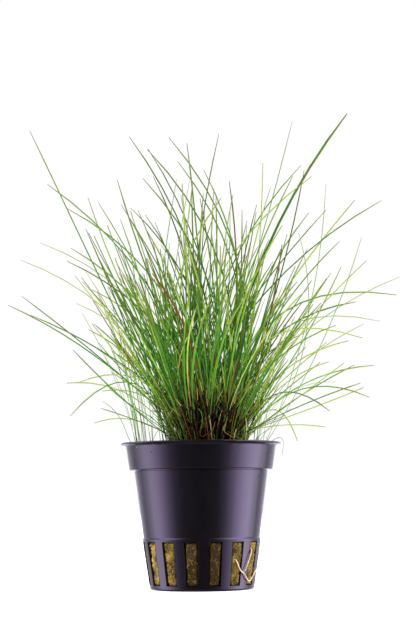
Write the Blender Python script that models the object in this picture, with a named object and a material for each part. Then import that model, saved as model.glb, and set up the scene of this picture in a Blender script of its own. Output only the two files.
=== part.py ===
"""Dwarf hairgrass growing in its small slotted net pot.

Lengths are in metres and +Z is up. The origin is the centre of the pot's flat
underside, and the front of the pot faces -Y. The pot holds a plug of mineral
wool. Tufts of grass stand on the plug, a little to the right of its middle: each
is a short sheath whose top splits into fine culms that arch outwards and cross.
"""

import math
import random
from dataclasses import dataclass, field

import bmesh
import bpy
import numpy as np

MM = 0.001

# Pot: turned wall and floor
POT_HEIGHT = 50.0 * MM
LIP_RADIUS = 27.5 * MM
LIP_THICKNESS = 0.6 * MM
LIP_INNER_RADIUS = 25.9 * MM
WALL = 0.8 * MM
FLOOR = 1.0 * MM
FOOT_ROUND = 0.9 * MM
BODY_RADIUS = 17.55 * MM
BODY_SLOPE = 0.133
RIDGE = 0.35 * MM
RIDGE_TOP = 17.1 * MM
RIDGE_FADE = 0.5 * MM
STEP_HEIGHT = 40.5 * MM
BAND_RADIUS = 24.6 * MM
BAND_TOP = 48.6 * MM
BAND_SLOPE = 0.148
TURN_STEPS = 60
WELD = 0.005 * MM

# Pot: slots through the wall and the floor
SLOTS = 15
FIRST_SLOT = math.radians(13.6)
SLOT_BOTTOM = 1.7 * MM
SLOT_TOP = 16.3 * MM
SLOT_WIDTH_BOTTOM = 4.2 * MM
SLOT_WIDTH_TOP = 4.8 * MM
SLOT_FLARE = 0.6
FLOOR_SLOTS = 5
FLOOR_SLOT_WIDTH = 2.4 * MM
FLOOR_SLOT_INNER = 5.5 * MM
FLOOR_SLOT_OUTER = 14.0 * MM
CUT_DEPTH = 4.0 * MM
CUT_REACH = 6.0 * MM

# Mineral wool plug
GAP = 0.3 * MM
WOOL_GAP = 0.4 * MM
WOOL_LUMPS = 0.6 * MM
WOOL_TOP = 46.5 * MM
WOOL_SIDES = 20
WOOL_LEVELS = (1.3, 3.6, 8.0, 12.5, 17.5, 29.0, 41.7, 41.9, 45.4, 46.5)
WOOL_EDGE = 1.4 * MM

# Tufts pressed into the middle of the plug, on a triangular grid
RINGS = 3
SPACING = 3.4 * MM
GRID_TURN = math.radians(11.0)
FOOT_HEIGHT = WOOL_TOP + GAP
FOOT_JITTER = 0.08 * MM
SHEATH_SIDES = 6
SHEATH_FOOT_RADIUS = 1.42 * MM
SHEATH_TOP_RADIUS = 1.22 * MM
SHEATH_LENGTH = 13.0 * MM
SHEATH_SHORTENING = 0.62
FAN_DEPTH = 17.65 * MM
CLUMP_X = 2.6 * MM

# Small tufts that came up round the rim
RIM_TUFT_AZIMUTHS = (-48, -66, -84, -101, -119, -141, -166, 171, 147, 121, 99, 58)
RIM_TUFT_RADIUS = 21.9 * MM
RIM_TUFT_SIDES = 4
RIM_TUFT_FOOT_RADIUS = 0.85 * MM
RIM_TUFT_TOP_RADIUS = 0.8 * MM
RIM_TUFT_LENGTH = 2.2 * MM
RIM_TUFT_LEAN = math.radians(7.0)

# Culms: lengths, then the angles at which they leave the sheath and arch over
SEED = 41
CULM_RADIUS = 0.29 * MM
CULM_TAPER = 0.35
CULM_NECK = 3.2 * MM
CULM_CLEARANCE = 0.06 * MM
CULM_TRIES = 240
STRAIGHT_BOW = 3.0 * MM
BENT_STATIONS = (0.42, 0.72)
STRAIGHT_STATIONS = (0.55,)
CULM_LENGTHS = (49.5 * MM, 109 * MM, 71 * MM)
SHORTER_PER_RADIAN = 0.9
SPREAD_DEGREES = (0, 3)
ARCH_DEGREES = (-7, 23, 5.5)
SWAY_DEGREES = 37
TOSS = 0.04
RIM_CULM_LENGTHS = (26 * MM, 72 * MM)
RIM_ARCH_DEGREES = (-4, 26)

# Culms that head to the front or the back of the pot reach further and arch over more
FACING_REACH = 0.6
FACING_ARCH_DEGREES = 50

# How well a sheath suits a landmark culm, as millimetres that it stands too far off
DEPTH_SHARE = 0.4
DEPTH_WEIGHT = 0.35
WRONG_SIDE = 2.0 * MM
WRONG_LEAN = 4.0 * MM
MOST_COST = 14.0 * MM
LEAST_ALONG = 0.62
STRAIGHT_UP = 0.12

# Space that the culms leave free round the rim of the pot and above the wool
RIM_INNER_CLEAR = 24.2 * MM
RIM_OUTER_CLEAR = LIP_RADIUS + 0.8 * MM
RIM_TOP_CLEAR = POT_HEIGHT + 0.7 * MM
WOOL_CLEAR = WOOL_TOP + 0.8 * MM

# Roots and the dead leaf
ROOT_RADIUS = 0.25 * MM
LEAF_RADIUS = 0.22 * MM
STRAND_POINTS_PER_SPAN = 2

# Landmark culms of the plant, in millimetres: x of the foot at the rim's height,
# x, y and z of the tip, and the bow. The bow is how far the curve's middle control
# point stands to the left of the straight line to the tip, seen from the front.
LANDMARK_CULMS = (
    (-9, -60, 5, 161.5, 0),
    (2, -52, -12, 138.5, -20),
    (1, -48.5, 20, 136.5, -26),
    (0, -38.5, -6, 135, 6),
    (3, -37, 26, 139.5, -6),
    (4, -29, 8, 144, 4),
    (12, -26, -26, 128.5, -5),
    (1, -24.5, 14, 135, -22),
    (-6, -26.5, -20, 124.5, -3),
    (6, -25, 15, 161.5, -19),
    (9, -17.5, -14, 150, -26),
    (7, -18.5, 24, 159, -18),
    (12, -10.5, 6, 159, -28),
    (11, -7, -22, 144, -23),
    (9, 2, 18, 149.5, -19),
    (-2, 7.5, 12, 161.5, 7),
    (7, -18.5, -30, 136.5, -21),
    (2, -16, 2, 144, -10),
    (-17, -7.5, -12, 140, 4),
    (-2, -5.5, -26, 135.5, 0),
    (-12, -3, 16, 146.5, 4),
    (-9, -2, -8, 139.5, 2),
    (5, 0.5, 30, 141.5, -5),
    (1, -43, -22, 114.5, -16),
    (-2, -57, 14, 122.5, -25),
    (5, -46.5, 2, 114, -15),
    (-4, -62, -4, 113.5, -19),
    (-4, -63, 8, 102.5, -1),
    (0, -58, -10, 93.5, -7),
    (-5, -66.5, -2, 98, -7),
    (-24, -40.5, -6, 94.5, -4),
    (-10, -43, -14, 81, 2),
    (-9, -47, 8, 71.5, -12),
    (-9, -42, -10, 70, -22),
    (-7, -45, 0, 59.5, -30),
    (-10, -35, 14, 69, -12),
    (-12, -33.5, -16, 61, -1),
    (-11, -37, 2, 57, -7),
    (-8, -40, 18, 91.5, -10),
    (-5, -41, -24, 95.5, -14),
    (0, -39, 22, 106.5, -17),
    (-19, -40.5, 10, 111.5, -9),
    (6, 52, -8, 163.5, 15),
    (1, 33, -5, 161.5, -2),
    (11, 23.5, 18, 152, -4),
    (-2, 37.5, 20, 151.5, 21),
    (0, 32, -20, 139, 5),
    (8, 38, 10, 147.5, -5),
    (-11, 39, -12, 140.5, 25),
    (21, 45.5, 8, 142, -9),
    (0, 56, 10, 136.5, 5),
    (-5, 63.5, -6, 133, 18),
    (22, 56, -10, 119.5, -6),
    (5, 59, 4, 113.5, 3),
    (5, 47, -26, 115.5, 10),
    (7, 70, 0, 107, 13),
    (7, 70, 10, 102, 37),
    (8, 57, 24, 101.5, 22),
    (8, 62, -8, 90.5, 34),
    (12, 58.5, 12, 92, 8),
    (13, 54.5, -20, 83.5, 37),
    (14, 52, 2, 85, 14),
    (10, 45, -28, 87, 13),
    (17, 50.5, 5, 77.5, 0),
    (17, 59, -12, 75, 11),
    (15, 55, 14, 77.5, 3),
    (17, 45.5, -18, 69, 14),
    (15, 58.5, 0, 65, 19),
    (13, 55, -6, 69.5, 2),
    (13, 57.5, 8, 69, -1),
    (15, 43.5, -14, 59.5, 20),
    (15, 43.5, 4, 55, 3),
    (15, 34, 10, 50.5, 20),
    (15, 46.5, 22, 79.5, 8),
    (17, 43.5, -8, 83.5, 2),
    (21, 36, 16, 126, -20),
    (3, 40.5, 26, 135, 10),
    (-7, 43.5, -16, 128, 7),
    (12, 27.5, -30, 114, -3),
    (7, 10.5, -15, 138.5, -8),
    (-8, 7.5, -28, 130, 20),
    (4, 12, -4, 136, 3),
    (10, 16, 28, 136.5, -3),
    (13, 48, -18, 108, -4),
)

# Roots that hang out of the slots, and a dead leaf over the lip, in millimetres
MAIN_ROOT = (
    (10.6, -13.9, 11.4),
    (11.6, -15.4, 9.8),
    (12.8, -14.8, 6.9),
    (14.1, -13.0, 5.6),
    (15.8, -10.3, 3.1),
    (17.8, -7.2, 5.9),
    (19.2, -3.8, 8.2),
    (20.2, -0.9, 10.3),
    (20.1, -0.7, 12.1),
    (18.9, -1.0, 13.6),
)
SIDE_ROOT = (
    (15.2, -9.8, 14.9),
    (16.6, -10.9, 13.6),
    (16.4, -11.5, 12.0),
    (15.8, -11.9, 10.2),
    (14.8, -12.5, 7.5),
    (14.2, -13.1, 6.3),
)
DEAD_LEAF = (
    (21.5, -3.5, 47.1),
    (23.5, -4.0, 49.2),
    (25.8, -4.3, 50.9),
    (27.5, -4.5, 51.0),
    (28.2, -4.6, 49.7),
    (28.1, -4.7, 47.5),
    (27.7, -4.8, 44.6),
)


@dataclass
class Culm:
    """One grass stem: a quadratic curve from the sheath's top to its tip."""

    sector: int
    start: np.ndarray
    control: np.ndarray
    tip: np.ndarray

    def at(self, t):
        """Points of the curve at the shares t of its parameter."""
        t = np.atleast_1d(t)[:, None]
        return (1 - t) ** 2 * self.start + 2 * t * (1 - t) * self.control + t**2 * self.tip

    def stations(self):
        """The curve's stations: a neck near the sheath, then more where it bends more."""
        chord = np.linalg.norm(self.tip - self.start)
        middle = (self.start + self.tip) / 2
        bow = np.linalg.norm(self.control - middle)
        inner = BENT_STATIONS if bow > STRAIGHT_BOW else STRAIGHT_STATIONS
        return np.array([0.0, CULM_NECK / chord, *inner, 1.0])

    def heading(self, t):
        """The unit direction of the curve at the share t."""
        return unit((1 - t) * (self.control - self.start) + t * (self.tip - self.control))


@dataclass
class Tuft:
    """A sheath that stands on the wool, with the culms that grow from its top."""

    name: str
    foot: np.ndarray
    axis: np.ndarray
    length: float
    sides: int
    foot_radius: float
    top_radius: float
    culms: list = field(default_factory=list)

    def top_centre(self):
        return self.foot + self.axis * self.length

    def top_corners(self):
        across, along = square_to(self.axis)
        angles = np.arange(self.sides) * 2 * math.pi / self.sides
        rim = np.outer(np.cos(angles), across) + np.outer(np.sin(angles), along)
        return self.top_centre() + rim * self.top_radius

    def sector_centre(self, sector):
        """The middle of one triangle of the top, where a culm starts."""
        corners = self.top_corners()
        pair = corners[sector] + corners[(sector + 1) % self.sides]
        return (self.top_centre() + pair) / 3

    def free_sectors(self):
        taken = {culm.sector for culm in self.culms}
        return [sector for sector in range(self.sides) if sector not in taken]


def unit(vector):
    return vector / np.linalg.norm(vector)


def square_to(axis):
    """Two unit vectors square to the axis: X and Y turned with +Z onto it."""
    lean = np.array([-axis[1], axis[0], 0.0])
    cross = np.array([[0, 0, lean[1]], [0, 0, -lean[0]], [-lean[1], lean[0], 0]])
    turn = np.eye(3) + cross + cross @ cross / (1 + axis[2])
    return turn[:, 0], turn[:, 1]


def around_pot(azimuth, radius, height):
    """A point at this azimuth, counted from the front (-Y) towards +X."""
    return np.array([radius * math.sin(azimuth), -radius * math.cos(azimuth), height])


# Planning of the tufts and culms


class Clearances:
    """The straight pieces already placed, to keep each new culm clear of them."""

    def __init__(self):
        self.starts = np.empty((0, 3))
        self.ends = np.empty((0, 3))
        self.radii = np.empty(0)

    def add(self, points, radius):
        self.starts = np.vstack([self.starts, points[:-1]])
        self.ends = np.vstack([self.ends, points[1:]])
        self.radii = np.append(self.radii, np.full(len(points) - 1, radius))

    def least(self, points, radius, ignored):
        """The smallest free space between a new chain of points and what is placed."""
        least = math.inf
        for start, end in zip(points[:-1], points[1:]):
            gaps = segment_distances(start, end, self.starts, self.ends)
            free = gaps - self.radii - radius
            free[ignored] = math.inf
            least = min(least, free.min())
        return least


def segment_distances(start, end, starts, ends):
    """Distances from one segment to many, by clamping the nearest points of the lines."""
    own, other = end - start, ends - starts
    between = start - starts
    own_sq = own @ own
    other_sq = np.einsum("ij,ij->i", other, other)
    mixed = other @ own
    own_lead = between @ own
    other_lead = np.einsum("ij,ij->i", other, between)
    spread = np.maximum(own_sq * other_sq - mixed**2, 1e-18)
    share = np.clip((mixed * other_lead - own_lead * other_sq) / spread, 0, 1)
    other_share = np.clip((mixed * share + other_lead) / other_sq, 0, 1)
    share = np.clip((mixed * other_share - own_lead) / own_sq, 0, 1)
    near = between + share[:, None] * own - other_share[:, None] * other
    return np.linalg.norm(near, axis=1)


def grid_feet():
    """Feet of the middle tufts on a triangular grid, ring by ring, with small shifts."""
    chance = random.Random(SEED)
    feet = []
    for a in range(-RINGS, RINGS + 1):
        for b in range(-RINGS, RINGS + 1):
            if abs(a + b) > RINGS:
                continue
            across = SPACING * (a + b / 2)
            along = SPACING * b * math.sqrt(3) / 2
            x = across * math.cos(GRID_TURN) - along * math.sin(GRID_TURN)
            y = across * math.sin(GRID_TURN) + along * math.cos(GRID_TURN)
            x += chance.uniform(-FOOT_JITTER, FOOT_JITTER)
            y += chance.uniform(-FOOT_JITTER, FOOT_JITTER)
            feet.append((x, y))
    return sorted(feet, key=lambda foot: math.hypot(*foot))


def plan_tufts():
    """The middle tufts, which fan out from a point below the wool, and the rim tufts."""
    tufts = []
    for x, y in grid_feet():
        foot = np.array([CLUMP_X + x, y, FOOT_HEIGHT])
        axis = unit(np.array([x, y, FAN_DEPTH]))
        length = SHEATH_LENGTH - SHEATH_SHORTENING * math.hypot(x, y)
        name = f"tuft_{len(tufts) + 1:02d}"
        tufts.append(
            Tuft(name, foot, axis, length, SHEATH_SIDES, SHEATH_FOOT_RADIUS, SHEATH_TOP_RADIUS)
        )
    for number, azimuth in enumerate(map(math.radians, RIM_TUFT_AZIMUTHS), 1):
        foot = around_pot(azimuth, RIM_TUFT_RADIUS, FOOT_HEIGHT)
        axis = around_pot(azimuth, math.sin(RIM_TUFT_LEAN), math.cos(RIM_TUFT_LEAN))
        tufts.append(
            Tuft(
                f"rim_tuft_{number:02d}",
                foot,
                axis,
                RIM_TUFT_LENGTH,
                RIM_TUFT_SIDES,
                RIM_TUFT_FOOT_RADIUS,
                RIM_TUFT_TOP_RADIUS,
            )
        )
    return tufts


def bowed_culm(sector, start, tip, bow):
    """A culm whose control point stands off the middle of its chord, to the left by bow."""
    chord = unit(tip - start)
    leftwards = unit(np.array([-chord[2], 0.0, chord[0]]))
    return Culm(sector, start, (start + tip) / 2 + bow * leftwards, tip)


def turned(direction, outwards, sideways):
    """The direction tipped away from +Z by one angle and swung sideways by another."""
    lean = math.acos(max(-1.0, min(1.0, direction[2]))) + outwards
    heading = math.atan2(direction[1], direction[0]) + sideways
    return np.array(
        [math.sin(lean) * math.cos(heading), math.sin(lean) * math.sin(heading), math.cos(lean)]
    )


def random_culm(chance, tuft, sector):
    """A culm that leaves the sheath on its own side, arches over and is tossed about."""
    start = tuft.sector_centre(sector)
    side = unit(start - tuft.top_centre())
    spread = math.tan(math.radians(chance.uniform(*SPREAD_DEGREES)))
    leaving = unit(tuft.axis + spread * side)
    lean = math.acos(leaving[2])
    if tuft.sides == RIM_TUFT_SIDES:
        length = chance.uniform(*RIM_CULM_LENGTHS)
        arch = chance.uniform(*RIM_ARCH_DEGREES)
    else:
        facing = leaving[1] ** 2 / (leaving[0] ** 2 + leaving[1] ** 2)
        shorter = SHORTER_PER_RADIAN * lean * (1 - FACING_REACH * facing)
        length = chance.triangular(*CULM_LENGTHS) * (1 - shorter)
        arch = chance.triangular(*ARCH_DEGREES) + FACING_ARCH_DEGREES * facing * math.sin(lean)
    sway = math.radians(chance.uniform(-SWAY_DEGREES, SWAY_DEGREES))
    toss = np.array([chance.uniform(-TOSS, TOSS), chance.uniform(-TOSS, TOSS), 0.0])
    control = start + leaving * length / 2
    onward = unit(turned(leaving, math.radians(arch), sway) + toss)
    return Culm(sector, start, control, control + onward * length / 2)


def clear_of_pot(culm):
    """Whether the culm passes inside the rim or above it, and above the wool."""
    points = culm.at(np.linspace(0, 1, 25))
    radius = np.hypot(points[:, 0], points[:, 1])
    at_rim = (radius > RIM_INNER_CLEAR) & (radius < RIM_OUTER_CLEAR)
    too_low = at_rim & (points[:, 2] < RIM_TOP_CLEAR)
    return not too_low.any() and points[:, 2].min() > WOOL_CLEAR


def culm_fits(culm, placed, own_sheath):
    ignored = np.arange(len(placed.radii)) == own_sheath
    points = culm.at(culm.stations())
    own = CULM_RADIUS + CULM_CLEARANCE
    return clear_of_pot(culm) and placed.least(points[1:], own, ignored) > 0


def plant_culms(tufts):
    """Places the landmark culms first, then fills the other sectors by chance."""
    placed = Clearances()
    for tuft in tufts:
        placed.add(np.array([tuft.foot, tuft.top_centre()]), tuft.foot_radius)
    placed.add(np.array(smooth_path(DEAD_LEAF)), LEAF_RADIUS)
    for foot_x, x, y, z, bow in LANDMARK_CULMS:
        place_landmark(foot_x * MM, np.array([x, y, z]) * MM, bow * MM, tufts, placed)
    chance = random.Random(SEED)
    for own_sheath, tuft in enumerate(tufts):
        for sector in tuft.free_sectors():
            for _ in range(CULM_TRIES):
                culm = random_culm(chance, tuft, sector)
                if culm_fits(culm, placed, own_sheath):
                    keep(tuft, culm, placed)
                    break


def place_landmark(foot_x, tip, bow, tufts, placed):
    """Grows the landmark culm from the free sector that suits it best and has room."""
    choices = []
    for own_sheath, tuft in enumerate(tufts):
        for sector in tuft.free_sectors():
            culm = bowed_culm(sector, tuft.sector_centre(sector), tip, bow)
            choices.append((sector_cost(tuft, culm, foot_x), own_sheath, culm))
    for cost, own_sheath, culm in sorted(choices, key=lambda choice: choice[0]):
        if cost > MOST_COST:
            return
        if culm_fits(culm, placed, own_sheath):
            keep(tufts[own_sheath], culm, placed)
            return


def sector_cost(tuft, culm, foot_x):
    """How ill a sector suits a culm: by its sheath's place, then by its side and lean."""
    at_rim = tuft.foot + tuft.axis * (POT_HEIGHT - FOOT_HEIGHT) / tuft.axis[2]
    leaving = culm.heading(0)
    along = leaving @ tuft.axis
    aside = leaving - along * tuft.axis
    own_side = unit(aside) @ unit(culm.start - tuft.top_centre())
    if along < LEAST_ALONG or (own_side < 0 and np.linalg.norm(aside) > STRAIGHT_UP):
        return math.inf
    off_x = abs(at_rim[0] - foot_x)
    off_y = abs(at_rim[1] - DEPTH_SHARE * culm.tip[1])
    turn = WRONG_SIDE * (1 - own_side) + WRONG_LEAN * (1 - along)
    return off_x + DEPTH_WEIGHT * off_y + turn


def keep(tuft, culm, placed):
    tuft.culms.append(culm)
    placed.add(culm.at(culm.stations())[1:], CULM_RADIUS)


def smooth_path(points):
    """A Catmull-Rom curve through points in millimetres, read at even shares, in metres."""
    points = np.array(points) * MM
    ends = np.vstack([2 * points[0] - points[1], points, 2 * points[-1] - points[-2]])
    path = [points[0]]
    for before, start, end, after in zip(ends, ends[1:], ends[2:], ends[3:]):
        for step in range(1, STRAND_POINTS_PER_SPAN + 1):
            t = step / STRAND_POINTS_PER_SPAN
            path.append(
                start
                + t * (end - before) / 2
                + t**2 * (2 * before - 5 * start + 4 * end - after) / 2
                + t**3 * (3 * (start - end) + after - before) / 2
            )
    return path


# Materials


def make_material(name, colour, roughness, subsurface=0.0):
    material = bpy.data.materials.new(name)
    material.use_nodes = True
    shader = material.node_tree.nodes["Principled BSDF"]
    shader.inputs["Base Color"].default_value = (*colour, 1.0)
    shader.inputs["Roughness"].default_value = roughness
    shader.inputs["Metallic"].default_value = 0.0
    shader.inputs["Subsurface Weight"].default_value = subsurface
    return material


# Objects


def add_object(name, data, material):
    thing = bpy.data.objects.new(name, data)
    bpy.context.scene.collection.objects.link(thing)
    data.materials.append(material)
    return thing


def mesh_from(shape, name):
    bmesh.ops.recalc_face_normals(shape, faces=shape.faces[:])
    mesh = bpy.data.meshes.new(name)
    shape.to_mesh(mesh)
    shape.free()
    return mesh


def shade_round(mesh, angle=math.radians(35)):
    mesh.shade_smooth()
    mesh.set_sharp_from_angle(angle=angle)


def body_radius(height):
    """Outer radius of the tapered body below the step."""
    return BODY_RADIUS + BODY_SLOPE * height


def ridge_radius(height):
    """Outer radius round the slots, where the wall stands out a little."""
    return body_radius(height) + RIDGE


def band_radius(height):
    """Outer radius of the rim band above the step."""
    return BAND_RADIUS + BAND_SLOPE * (height - STEP_HEIGHT)


def foot_arc():
    """The rounded edge between the body and the underside, from the side downwards."""
    centre = ridge_radius(FOOT_ROUND) - FOOT_ROUND
    arc = []
    for quarter in (0.0, 0.5, 1.0):
        angle = quarter * math.pi / 2
        arc.append(
            (centre + FOOT_ROUND * math.cos(angle), FOOT_ROUND * (1 - math.sin(angle)))
        )
    return arc


def flare_arc():
    """The hollow curve from under the lip down to the rim band."""
    lip_under = POT_HEIGHT - LIP_THICKNESS
    reach = LIP_RADIUS - band_radius(BAND_TOP)
    drop = lip_under - BAND_TOP
    arc = []
    for quarter in (0.0, 0.6, 1.0):
        angle = quarter * math.pi / 2
        arc.append(
            (LIP_RADIUS - reach * math.sin(angle), lip_under - drop * (1 - math.cos(angle)))
        )
    return arc


def pot_section():
    """Half section of the pot: up the inner side, over the lip and down the outer side."""
    shelf = STEP_HEIGHT + WALL
    inner = [
        (0.0, FLOOR),
        (body_radius(FLOOR) - WALL, FLOOR),
        (body_radius(shelf) - WALL, shelf),
        (band_radius(shelf) - WALL, shelf),
        (band_radius(BAND_TOP) - WALL, BAND_TOP),
        (LIP_INNER_RADIUS, POT_HEIGHT),
        (LIP_RADIUS, POT_HEIGHT),
    ]
    outer = [
        *flare_arc(),
        (BAND_RADIUS, STEP_HEIGHT),
        (body_radius(STEP_HEIGHT), STEP_HEIGHT),
        (body_radius(RIDGE_TOP + RIDGE_FADE), RIDGE_TOP + RIDGE_FADE),
        (ridge_radius(RIDGE_TOP), RIDGE_TOP),
        *foot_arc(),
        (0.0, 0.0),
    ]
    return inner + outer


def tapered_block(shape, azimuth, reach, heights, widths):
    """A cutter block that points outwards, with its near and far widths at each height."""
    corners = []
    outwards = around_pot(azimuth, 1.0, 0.0)
    aside = np.array([-outwards[1], outwards[0], 0.0])
    for height, ends in zip(heights, widths):
        for end, side in ((0, -1), (1, -1), (1, 1), (0, 1)):
            point = outwards * reach[end] + aside * side * ends[end] / 2
            corners.append(shape.verts.new((point[0], point[1], height)))
    quads = (0, 3, 2, 1), (4, 5, 6, 7), (0, 1, 5, 4), (1, 2, 6, 5), (2, 3, 7, 6), (3, 0, 4, 7)
    for quad in quads:
        shape.faces.new([corners[corner] for corner in quad])


def make_slot_cutter(material):
    """One hidden object with a block for each slot of the wall and of the floor."""
    shape = bmesh.new()
    reach = (BODY_RADIUS - CUT_DEPTH, BODY_RADIUS + CUT_REACH)
    heights = (SLOT_BOTTOM, SLOT_TOP)
    widths = [
        [width + SLOT_FLARE * (radius - ridge_radius(height)) for radius in reach]
        for height, width in zip(heights, (SLOT_WIDTH_BOTTOM, SLOT_WIDTH_TOP))
    ]
    for number in range(SLOTS):
        azimuth = FIRST_SLOT + number * 2 * math.pi / SLOTS
        tapered_block(shape, azimuth, reach, heights, widths)
    reach = (FLOOR_SLOT_INNER, FLOOR_SLOT_OUTER)
    widths = [(FLOOR_SLOT_WIDTH, FLOOR_SLOT_WIDTH)] * 2
    for number in range(FLOOR_SLOTS):
        azimuth = number * 2 * math.pi / FLOOR_SLOTS
        tapered_block(shape, azimuth, reach, (-FLOOR, 2 * FLOOR), widths)
    cutter = add_object("slot_cutter", mesh_from(shape, "slot_cutter"), material)
    cutter.hide_render = True
    cutter.display_type = "WIRE"
    return cutter


def make_pot(material):
    """The section turned about the pot's axis, with the slots cut out of it."""
    shape = bmesh.new()
    corners = [shape.verts.new((radius, 0.0, height)) for radius, height in pot_section()]
    edges = [shape.edges.new(pair) for pair in zip(corners, corners[1:])]
    bmesh.ops.spin(
        shape,
        geom=corners + edges,
        cent=(0, 0, 0),
        axis=(0, 0, 1),
        angle=2 * math.pi,
        steps=TURN_STEPS,
        use_merge=True,
    )
    bmesh.ops.remove_doubles(shape, verts=shape.verts[:], dist=WELD)
    mesh = mesh_from(shape, "net_pot")
    shade_round(mesh)
    pot = add_object("net_pot", mesh, material)
    cut = pot.modifiers.new("Slots", "BOOLEAN")
    cut.operation = "DIFFERENCE"
    cut.solver = "EXACT"
    cut.object = make_slot_cutter(material)
    return pot


def wool_radius(azimuth, height):
    """The pot's inner radius less a gap and the wool's lumps, a sum of three waves."""
    above_shelf = height > STEP_HEIGHT + WALL + 1.5 * GAP
    inner = (band_radius(height) if above_shelf else body_radius(height)) - WALL
    waves = (
        math.sin(5 * azimuth + 380 * height)
        + math.sin(9 * azimuth - 610 * height + 1.3)
        + math.sin(14 * azimuth + 930 * height + 2.1)
    )
    return inner - WOOL_GAP - WOOL_LUMPS * (0.5 + waves / 6)


def make_wool(material):
    """The plug: rings that follow the pot's inside, with a rounded upper edge."""
    shape = bmesh.new()
    levels = [height * MM for height in WOOL_LEVELS]
    rings = []
    for height in levels:
        ring = []
        for side in range(WOOL_SIDES):
            azimuth = side * 2 * math.pi / WOOL_SIDES
            radius = wool_radius(azimuth, height)
            if height == levels[-1]:
                radius -= WOOL_EDGE
            ring.append(shape.verts.new(around_pot(azimuth, radius, height)))
        rings.append(ring)
    for low, high in zip(rings, rings[1:]):
        for side in range(WOOL_SIDES):
            after = (side + 1) % WOOL_SIDES
            shape.faces.new((low[side], low[after], high[after], high[side]))
    shape.faces.new(rings[0][::-1])
    shape.faces.new(rings[-1])
    mesh = mesh_from(shape, "wool_plug")
    shade_round(mesh, math.radians(60))
    return add_object("wool_plug", mesh, material)


def grow_culm(shape, cap, culm):
    """Extrudes one triangle of the sheath's top along the culm, to a point."""
    for station in culm.stations()[1:-1]:
        cap = bmesh.ops.extrude_discrete_faces(shape, faces=[cap])["faces"][0]
        radius = CULM_RADIUS * (1 - CULM_TAPER * station)
        centre = np.array(cap.calc_center_median())
        heading = culm.heading(station)
        for vert in cap.verts:
            arm = np.array(vert.co) - centre
            arm -= (arm @ heading) * heading
            vert.co = culm.at(station)[0] + radius * unit(arm)
    cap = bmesh.ops.extrude_discrete_faces(shape, faces=[cap])["faces"][0]
    bmesh.ops.pointmerge(shape, verts=cap.verts[:], merge_co=culm.tip)


def make_tuft(tuft, material):
    """The sheath as a tapered prism, then its culms."""
    shape = bmesh.new()
    angles = np.arange(tuft.sides) * 2 * math.pi / tuft.sides
    across, along = square_to(tuft.axis)
    foot_ring = []
    for angle in angles:
        arm = math.cos(angle) * across + math.sin(angle) * along
        arm[2] = 0.0
        foot_ring.append(shape.verts.new(tuft.foot + tuft.foot_radius * unit(arm)))
    top_ring = [shape.verts.new(corner) for corner in tuft.top_corners()]
    centre = shape.verts.new(tuft.top_centre())
    shape.faces.new(foot_ring[::-1])
    caps = []
    for side in range(tuft.sides):
        after = (side + 1) % tuft.sides
        shape.faces.new((foot_ring[side], foot_ring[after], top_ring[after], top_ring[side]))
        caps.append(shape.faces.new((centre, top_ring[side], top_ring[after])))
    for culm in tuft.culms:
        grow_culm(shape, caps[culm.sector], culm)
    mesh = mesh_from(shape, tuft.name)
    shade_round(mesh)
    return add_object(tuft.name, mesh, material)


def make_strand(name, points, radius, material):
    """A root or a dead leaf: a round bevelled curve on a smooth path."""
    path = smooth_path(points)
    curve = bpy.data.curves.new(name, "CURVE")
    curve.dimensions = "3D"
    curve.bevel_depth = radius
    curve.bevel_resolution = 0
    curve.use_fill_caps = True
    spline = curve.splines.new("POLY")
    spline.points.add(len(path) - 1)
    for point, place in zip(spline.points, path):
        point.co = (*place, 1.0)
    return add_object(name, curve, material)


def clear_scene():
    for thing in list(bpy.data.objects):
        bpy.data.objects.remove(thing, do_unlink=True)


def build():
    clear_scene()
    plastic = make_material("black_plastic", (0.012, 0.010, 0.014), 0.28)
    wool = make_material("mineral_wool", (0.26, 0.17, 0.05), 0.95)
    root = make_material("root", (0.80, 0.60, 0.40), 0.6)
    dead = make_material("dead_leaf", (0.42, 0.30, 0.12), 0.7)
    grass = make_material("grass", (0.10, 0.26, 0.04), 0.45, subsurface=0.1)
    make_pot(plastic)
    make_wool(wool)
    make_strand("root_main", MAIN_ROOT, ROOT_RADIUS, root)
    make_strand("root_side", SIDE_ROOT, ROOT_RADIUS, root)
    make_strand("dead_leaf", DEAD_LEAF, LEAF_RADIUS, dead)
    tufts = plan_tufts()
    plant_culms(tufts)
    for tuft in tufts:
        make_tuft(tuft, grass)
    print(f"{len(tufts)} tufts with {sum(len(tuft.culms) for tuft in tufts)} culms")


build()
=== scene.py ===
"""Looks of a dwarf hairgrass plant in its slotted pot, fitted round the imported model.

Lengths are in metres and +Z is up. The front of the pot faces -Y, and an azimuth is
counted from there towards +X. The plan of the tufts and of their main culms follows
the same rules and the same seed as the solids, so each main culm lies where its
solid does. The finer culms, the sheaths and the fibres are added between them.
"""

import logging
import math
import random
from dataclasses import dataclass, field, replace
from enum import Enum
from typing import Any, Sequence

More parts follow.
